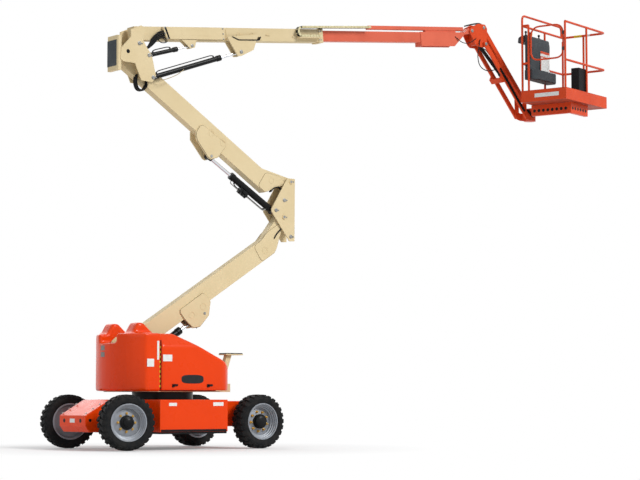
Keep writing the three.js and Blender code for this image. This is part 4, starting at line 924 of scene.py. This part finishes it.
def build_platform():
    rails = Shape()
    x0, x1, y = PX0 + RAIL, PX1 - RAIL, PY - RAIL
    post = PX0 + 125
    for z in (TOP_RAIL, MID_RAIL):
        rails.tube(rail_line([
            (post, -y, z), (x0, -y, z), (x0, y, z), (x1, y, z), (x1, -y, z)]), RAIL, 14)
    for px, py in ((x1, -y), (post, -y), (x1, 39), (PX0 + 380, y), (x0, 60)):
        rails.tube([deck(px, py, -5), deck(px, py, TOP_RAIL)], RAIL - 0.5, 14)
    hoop = TOP_RAIL + 160
    rails.tube(rail_line([
        (x0, -y, -5), (x0, -y, hoop), (x0, 590, hoop), (x0, 590, TOP_RAIL - 5)], 80),
        RAIL - 0.3, 14)
    rails.tube([deck(x0, y, -5), deck(x0, y, TOP_RAIL - 60)], RAIL - 0.5, 14)
    rails.finish("platform_rails", "platform", RED, "red_paint", ("platform_frame",), smooth=50)
    toe = Shape()
    inner = (-PY + 5.2, PY - 5.2)
    # x range, y range of the board, y range of its folded top edge
    for x, board, fold in (((PX0, PX1), (-PY, -PY + 5), (-PY, -PY + 26)),
                           ((PX0, PX1), (PY - 5, PY), (PY - 25, PY)),
                           ((PX0, PX0 + 5), inner, inner), ((PX1 - 5, PX1), inner, inner)):
        toe.block(deck, x, board, (-20, 155))
        toe.block(deck, x, fold, (150, 155))
    toe.finish("platform_toe_boards", "platform", RED, "red_paint", (), 1.2)
    floor = Shape()
    floor.block(deck, (PX0 + 5.3, PX1 - 5.3), (-PY + 5.3, PY - 5.3), (-18, -3))
    for i in range(36):
        y0 = -PY + 20 + i * 35.5
        floor.block(deck, (PX0 + 8, PX1 - 8), (y0, y0 + 5), (-3, 0))
    for i in range(21):
        x = PX0 + 20 + i * 36
        floor.block(deck, (x, x + 5), (-PY + 8, PY - 8), (-3, -0.5))
    floor.finish("platform_floor_plate", "platform", DECK)


def build_gate():
    r = 13
    x0, x1 = PX0 + 165, PX1 - RAIL * 2 - r - 4
    y = -PY + RAIL
    z0 = MID_RAIL + RAIL + r + 6
    z1 = TOP_RAIL - RAIL - r - 6
    middle = ((x0 + x1) / 2, y, z0)
    loop = [middle, (x0, y, z0), (x0, y, z1), (x1, y, z1), (x1, y, z0), middle]
    shape = Shape()
    shape.tube(rail_line(loop, 150), r, 14)
    shape.finish("entry_gate_look", "gate", RED, "red_paint", ("entry_gate",), smooth=50)
    blocks("gate_hinges", "gate", GREY, deck, [
        ((x1 - 14, PX1 - 2 * RAIL - 0.5), (y - 14, y + 14), (z - 26, z + 26))
        for z in (z0 + 130, z1 - 130)], bevel=2)
    blocks("gate_latch", "gate", YELLOW, deck, [
        ((x0 - 10, x0 + 14), (y + 12, y + 26), (z1 - 120, z1 - 60))], bevel=3)


build_platform()
build_gate()

def build_console_details():
    top = 1008  # top of the console above the floor
    face = (361.8, 362.8)
    blocks("console_plate_bands", "platform", RED, deck, [
        (face, (-300, -20), (765, 800)), (face, (-300, -20), (706, 724)),
        (face, (-300, -284), (500, 724))])
    knobs = Shape()
    for y in (-520, -400, -120):
        knobs.rod(deck(235, y, top - 8), deck(235, y, top + 46), 11, 16)
        knobs.ball(deck(235, y, top + 60), 20)
        knobs.lathe(deck(235, y, top - 6), Vector((0, 0, 1)), [
            (0, 0), (34, 0), (30, 10), (26, 16), (20, 22), (14, 30), (0, 30)], 20)
    knobs.finish("joysticks", "platform", PLASTIC, None, (), 1)
    rods("toggle_switches", "platform", ZINC, [
        (deck(300, y, top - 40), deck(306, y, top - 4), 5, 10)
        for y in (-335, -300, -265, -230, -195)])
    back = (128.4, 129.8)
    blocks("console_plates", "platform", LABEL, deck, [
        ((360.5, 362), (-300, -20), (500, 800)),
        (back, (-560, -300), (905, 965)), (back, (-260, -60), (905, 965))])
    rods("stop_button", "platform", RED, [
        (deck(290, -470, top - 24), deck(292, -470, top + 18), 20, 24, 4)])


build_console_details()


def build_cable_track():
    """Energy chain beside the boom: a lower run, a half turn and an upper run, made of links."""
    y0, y1 = -155, -89
    low = 111  # underside of the lower run
    half_link = 17
    radius = 78 - half_link
    middle = low + 78
    pitch = 52
    turn_u = 2700.0  # where the half turn starts
    path = []
    u = 3020.0
    while u > turn_u:
        path.append((u, low + half_link, 180))
        u -= pitch
    turns = int(math.pi * radius / pitch)
    for i in range(1, turns + 1):
        a = math.pi * i / (turns + 1)
        path.append((
            turn_u - radius * math.sin(a), middle - radius * math.cos(a), 180 - math.degrees(a)))
    u = turn_u
    while u < 3940:
        path.append((u + pitch / 2, middle + radius + 14 * (u - turn_u) / 1260, 0))
        u += pitch
    sides, bars = Shape(), Shape()
    for u, v, turn in path:
        a = math.radians(turn)
        along, up = (math.cos(a), math.sin(a)), (-math.sin(a), math.cos(a))

        def place(s, y, t, u=u, v=v, along=along, up=up):
            return BOOM(u + s * along[0] + t * up[0], y, v + s * along[1] + t * up[1])

        for ya, yb in ((y0, y0 + 7), (y1 - 7, y1)):
            sides.block(place, (-24, 24), (ya, yb), (-15, 15))
        sides.rod(place(-14, y0 - 1, 0), place(-14, y0 + 8, 0), 8, 12)
        bars.block(place, (-16, 16), (y0 + 7.2, y1 - 7.2), (9, 14))
        bars.block(place, (-16, 16), (y0 + 7.2, y1 - 7.2), (-14, -9))
    sides.finish(
        "cable_track_links", "cable_track", CREAM_LINK, "track_plastic", ("cable_track",), 1.2)
    bars.finish("cable_track_bars", "cable_track", PLASTIC, "track_plastic")
    blocks("cable_track_shelf", "cable_track", TAN, BOOM, [
        ((2650, 3026), (y0, -80.5), (low - 14, low + 1))], "tan_paint", 1.5)


build_cable_track()

# ---- covers, plates and trim

NEARWARD = Vector((0, -1, 0))
HOOD_FACE = 600
CHASSIS_FACE = 800


def skin(side, low, high):
    """Range of y between two distances from the machine's middle, on the side given by its sign."""
    return sorted((side * low, side * high))


def build_boom_trim():
    bolts = Shape()
    for u in (430, 1370):
        for v in (70, 140, 212):
            foot = BOOM(u if v > 100 or u > 1000 else u + 35, -116, v)
            bolts.lathe(foot, NEARWARD, [(0, 0), (12, 0), (12, 3), (8, 3), (8, 9), (0, 9)], 6)
    for u in (3040, 3070):
        for v in (80, 200):
            bolts.lathe(BOOM(u, -88, v), NEARWARD, [(0, 0), (9, 0), (9, 7), (0, 7)], 6)
    bolts.finish("boom_bolts", "main_boom", ZINC)
    strip = Shape()
    strip.prism([BOOM(u, -118, v) for u, v in ((478, 66), (506, 66), (452, 225), (424, 225))],
                Vector((0, 0.0015, 0)))
    strip.block(BOOM, (3034, 3109), (-89.5, 89.5), (224, 238))
    strip.block(BOOM, (1600, 1955), (-141, -86.5), (52, 66))
    for ends in (((1495, 100), (1508, 108), (1608, 66), (1600, 52)),
                 ((1955, 52), (1948, 66), (1975, 108), (1988, 100))):
        strip.prism([BOOM(u, -141, v) for u, v in ends], Vector((0, 0.054, 0)))
    strip.block(BOOM, (3110, 3114), (-62, -60.6), (70, 212))
    strip.finish("boom_black_trim", "main_boom", BLACK, "black_parts", (), 1)
    blocks("boom_doubler", "main_boom", TAN, BOOM, [
        ((1440, 2040), (-86, -80.2), (66, 205)),
        *(((u - 32, u + 32), (-92, -80.2), (v - 9, v + 9)) for u, v in ((2145, 139), (2598, 118))),
    ], "tan_paint", 1.5)
    blocks("boom_blank_plate", "main_boom", TAN, BOOM, [
        ((700, 1240), (-117, -116.1), (110, 190))], "tan_paint", 0.4)


def build_chassis_trim():
    blocks("chassis_skid_strips", "chassis", BLACK, at, [
        ((-540, 470), (-806, -CHASSIS_FACE - 0.5), (232, 262)),
        ((-540, 470), (CHASSIS_FACE + 0.5, 806), (232, 262)),
        ((-545, 480), (-790, 790), (205, 229.5))], "black_parts", 2)
    near_face = (-CHASSIS_FACE - 1.4, -CHASSIS_FACE - 0.2)
    blocks("chassis_plates", "chassis", LABEL, at, [
        ((-420, -300), near_face, (560, 600)), ((260, 420), near_face, (560, 606)),
        ((-1361.4, -1360.2), (-60, 60), (350, 400))])
    # Black discs in place of the tie-down holes: painted shade inside the holes.
    rods("tie_down_hole_shade", "chassis", BLACK, [
        *((at(x, y, 380), at(x, y + 3.5, 380), 20, 24)
          for x in (-1290, -1180) for y in (-323.5, 320)),
        *((at(-1362, y, 375), at(-1358, y, 375), 26, 24) for y in (-200, 200))])
    bolts = Shape()
    ring, count = 372, 24
    for i in range(count):
        a = 2 * math.pi * i / count
        bolts.lathe(at(ring * math.cos(a), ring * math.sin(a), 640), Vector((0, 0, 1)),
                    [(0, 0), (13, 0), (13, 12), (8, 14), (0, 14)], 6)
    for x in (-1330, -1230, -1130):
        for y in (-290, 290):
            bolts.lathe(at(x, y, 450 + (x + 1360) * 0.563), Vector((-0.3, 0, 1)),
                        [(0, 0), (13, 0), (13, 10), (0, 10)], 6)
    bolts.finish("chassis_bolts", "chassis", ZINC)


def badge_outline(y):
    """Rounded oblong on a hood's side."""
    outline = []
    for i in range(28):
        a = 2 * math.pi * i / 28
        outline.append(at(72 + 172 * math.copysign(abs(math.cos(a)) ** 0.6, math.cos(a)), y,
                          903 + 56 * math.copysign(abs(math.sin(a)) ** 0.6, math.sin(a))))
    return outline


def build_hood_trim():
    for label, side in (("near", -1), ("far", 1)):
        body = f"{label}_hood"
        depth = skin(side, HOOD_FACE + 0.5, HOOD_FACE + 14.5)
        blocks(f"{body}_latches", body, PLASTIC, at, [
            box for x in (-200, 341) for box in (
                ((x - 42, x + 42), depth, (814, 838)), ((x - 44, x - 8), depth, (800, 840)))
        ], bevel=4)
        badge = Shape()
        y0, y1 = skin(side, HOOD_FACE + 0.4, HOOD_FACE + 3)
        badge.prism(badge_outline(y0), Vector((0, (y1 - y0) / 1000, 0)))
        badge.finish(f"{body}_badge", body, DARK_LABEL, None, (), 1)
        blocks(f"{body}_plate", body, LABEL, at, [((-385, -245), (y0, y1), (1130, 1216))])
    sides = (-1, 1)
    blocks("tail_plates", "turntable", LABEL, at, [
        ((-625, -520), skin(s, HOOD_FACE + 0.4, HOOD_FACE + 2), (1060, 1160)) for s in sides])
    blocks("tail_seam_flecks", "turntable", YELLOW, at, [
        ((-438, -424), skin(s, HOOD_FACE + 0.3, HOOD_FACE + 1.2), (z, z + 26))
        for s in sides for z in range(800, 1358, 62)])
    blocks("tail_seam_strips", "turntable", LABEL, at, [
        ((-474, -444), skin(s, HOOD_FACE + 0.3, HOOD_FACE + 2), (1150, 1390)) for s in sides])
    # Black sheet inside the seam between tail and hood: painted shade of the gap.
    blocks("tail_seam_gap_shade", "turntable", BLACK, at, [
        ((-414, -406), skin(s, 560, 592), (775, 1400)) for s in sides])
    blocks("tail_rear_plates", "turntable", GREY_LABEL, at, [
        ((-873.5, -868), (30, 120), (z, z + 62)) for z in (1190, 1275)])


build_boom_trim()
build_chassis_trim()
build_hood_trim()
blocks("upright_tail_panel", "upright", GREY, UPRIGHT, [
    ((-337, -332.2), (-112, 112), (-322, 20))], bevel=6)
blocks("boom_rest_pad_rubber", "turntable", RUBBER, at, [
    ((960, 1230), (-85, 85), (1250, 1262))], bevel=3)


def build_platform_trim():
    rail_y = PY - RAIL
    rods("rail_sleeve", "platform", YELLOW, [
        (deck(440, rail_y, TOP_RAIL), deck(575, rail_y, TOP_RAIL), RAIL + 2, 16)])
    plates = Shape()
    plates.rod(deck(650, rail_y, TOP_RAIL), deck(720, rail_y, TOP_RAIL), RAIL + 1, 16)
    plates.block(deck, (PX0 + 230, PX0 + 640), (-PY - 1.4, -PY - 0.2), (40, 98))
    plates.block(deck, (PX1 - 4.8, PX1 + 0.2), (-20, -19), (0, 1))
    plates.finish("platform_plates", "platform", LABEL)
    blocks("document_box_label", "platform", LABEL, deck, [
        ((PX1 - 171.4, PX1 - 170.2), (-150, 80), (260, 440))])
    # Black discs in place of the holes in the platform support: painted shade inside the holes.
    rods("support_hole_shade", "platform", BLACK, [
        *((deck(x, -316.4, -110), deck(x, -317.6, -110), 24, 24)
          for x in range(260, 868, 76)),
        *((deck(880.4, y, -110), deck(881.6, y, -110), 24, 24)
          for y in range(-260, 232, 82))])


build_platform_trim()

# ---- hoses


def fan(count, spacing, route):
    """Copies of a route given as a function of the sideways offset in millimetres."""
    return [route((i - (count - 1) / 2) * spacing) for i in range(count)]


def run(place, y, *spots):
    """Route through [u, v] spots that keeps one sideways place."""
    return [place(u, y, v) for u, v in spots]


def build_hoses():
    hoses("upright_loop", "upright", fan(4, 22, lambda y: run(
        UPRIGHT, y - 30, (20, -400), (8, -500), (40, -585), (110, -600), (165, -540), (160, -450),
    )), 11)
    hoses("boom_hoses", "main_boom", [
        [BOOM(90, -60, -60), BOOM(150, -96, -60 + 6 * i), BOOM(235, -104, -5 + 26 * i),
         BOOM(330, -104, 70 + 26 * i), BOOM(430, -98, 88 + 28 * i)] for i in range(4)
    ], 11)
    hoses("level_hoses", "main_boom", [
        [BOOM(390, -98, 90 + 24 * i), BOOM(430 + 24 * i, -112, 40), BOOM(420, -112, 14),
         BOOM(360, -104, 20), BOOM(320, -98, 60)] for i in range(2)
    ], 6)
    hoses("boom_lift_tube", "boom_lift_barrel", [[
        BOOM(290, -114, -452), BOOM(330, -118, -480), BOOM(400, -120, -468), BOOM(560, -118, -416),
        BOOM(690, -108, -345),
    ]], 5, TAN_HOSE)
    hoses("knuckle_hoses", "mid_link", fan(4, 12, lambda y: run(
        MID, y - 24, (-215, 340), (-160, 392), (-90, 412), (-30, 385), (20, 300),
    )), 8)
    hoses("lower_knuckle_hoses", "mid_link", fan(5, 17, lambda y: run(
        MID, y, (30, 60), (10, -80), (-30, -160), (-100, -220 + y * 0.2), (-150, -300),
    )), 10)
    hoses("tray_hoses", "fly_boom", fan(4, 16, lambda y: run(
        BOOM, y - 22, (3990, 252), (4600, 255), (5300, 253), (5780, 250),
    )), 7)
    hoses("jib_head_hoses", "jib_head", fan(3, 26, lambda y: run(
        HEAD, y - 20, (-70, 74), (40, 108), (170, 134), (240, 112), (262, 40),
    )), 10)
    hoses("jib_head_lower_hose", "jib_head", [
        [HEAD(-330, -70, -120), HEAD(-230, -96, -190), HEAD(-132, -100, -205),
         HEAD(-20, -100, -170), HEAD(70, -98, -110)],
    ], 6)
    hoses("jib_loop", "jib_head", [
        [HEAD(150, -98, -120), HEAD(100, -128, -240), HEAD(66, -140, -387), HEAD(108, -142, -526),
         HEAD(244, -140, -585), HEAD(408, -132, -557)],
    ], 7)
    hoses("jib_hoses", "jib", fan(2, 22, lambda v: run(
        JIB, -131, (440, v), (700, v), (1000, v - 4), (1230, v),
    )), 8)
    hoses("rotator_hoses", "rotator", fan(3, 20, lambda y: [
        ROTATOR(40, y - 104, 90), ROTATOR(90, y - 118, 30), ROTATOR(150, y - 112, -10),
        ROTATOR(186, y - 96, 6),
    ]), 8)


def build_valve_block():
    """Valve block and pipe under the upper lift cylinder."""
    base = PIVOT["upper_lift_pivot"].copy()
    base.y = SWING.y + TOWER_Y / 1000
    along = (UPPER(UPPER_EYE[0], TOWER_Y, UPPER_EYE[1]) - base).normalized()
    down = -up_of(along)

    def place(u, y, v):
        return base + along * (u / 1000) + Vector((0, y / 1000, 0)) + down * (v / 1000)

    block = Shape()
    block.block(place, (460, 610), (-34, 34), (44, 112))
    block.block(place, (500, 560), (-52, 40), (58, 96))
    for u in (480, 535, 590):
        block.rod(place(u, -8, 108), place(u, -8, 130), 13, 14)
    block.finish("upper_lift_valve", "upper_lift_barrel", BLACK, "cylinder_black", (), 3)
    pipe = Shape()
    for spots in (((775, 0, 40), (775, 0, 86), (610, 0, 92)),
                  ((462, -10, 92), (130, -10, 92), (100, -10, 40)),
                  ((462, 12, 78), (150, 12, 78), (120, 12, 40))):
        pipe.tube(fillet([place(*spot) for spot in spots], 30), 7, 10)
    pipe.finish("upper_lift_tubes", "upper_lift_barrel", ZINC)


build_valve_block()
build_hoses()
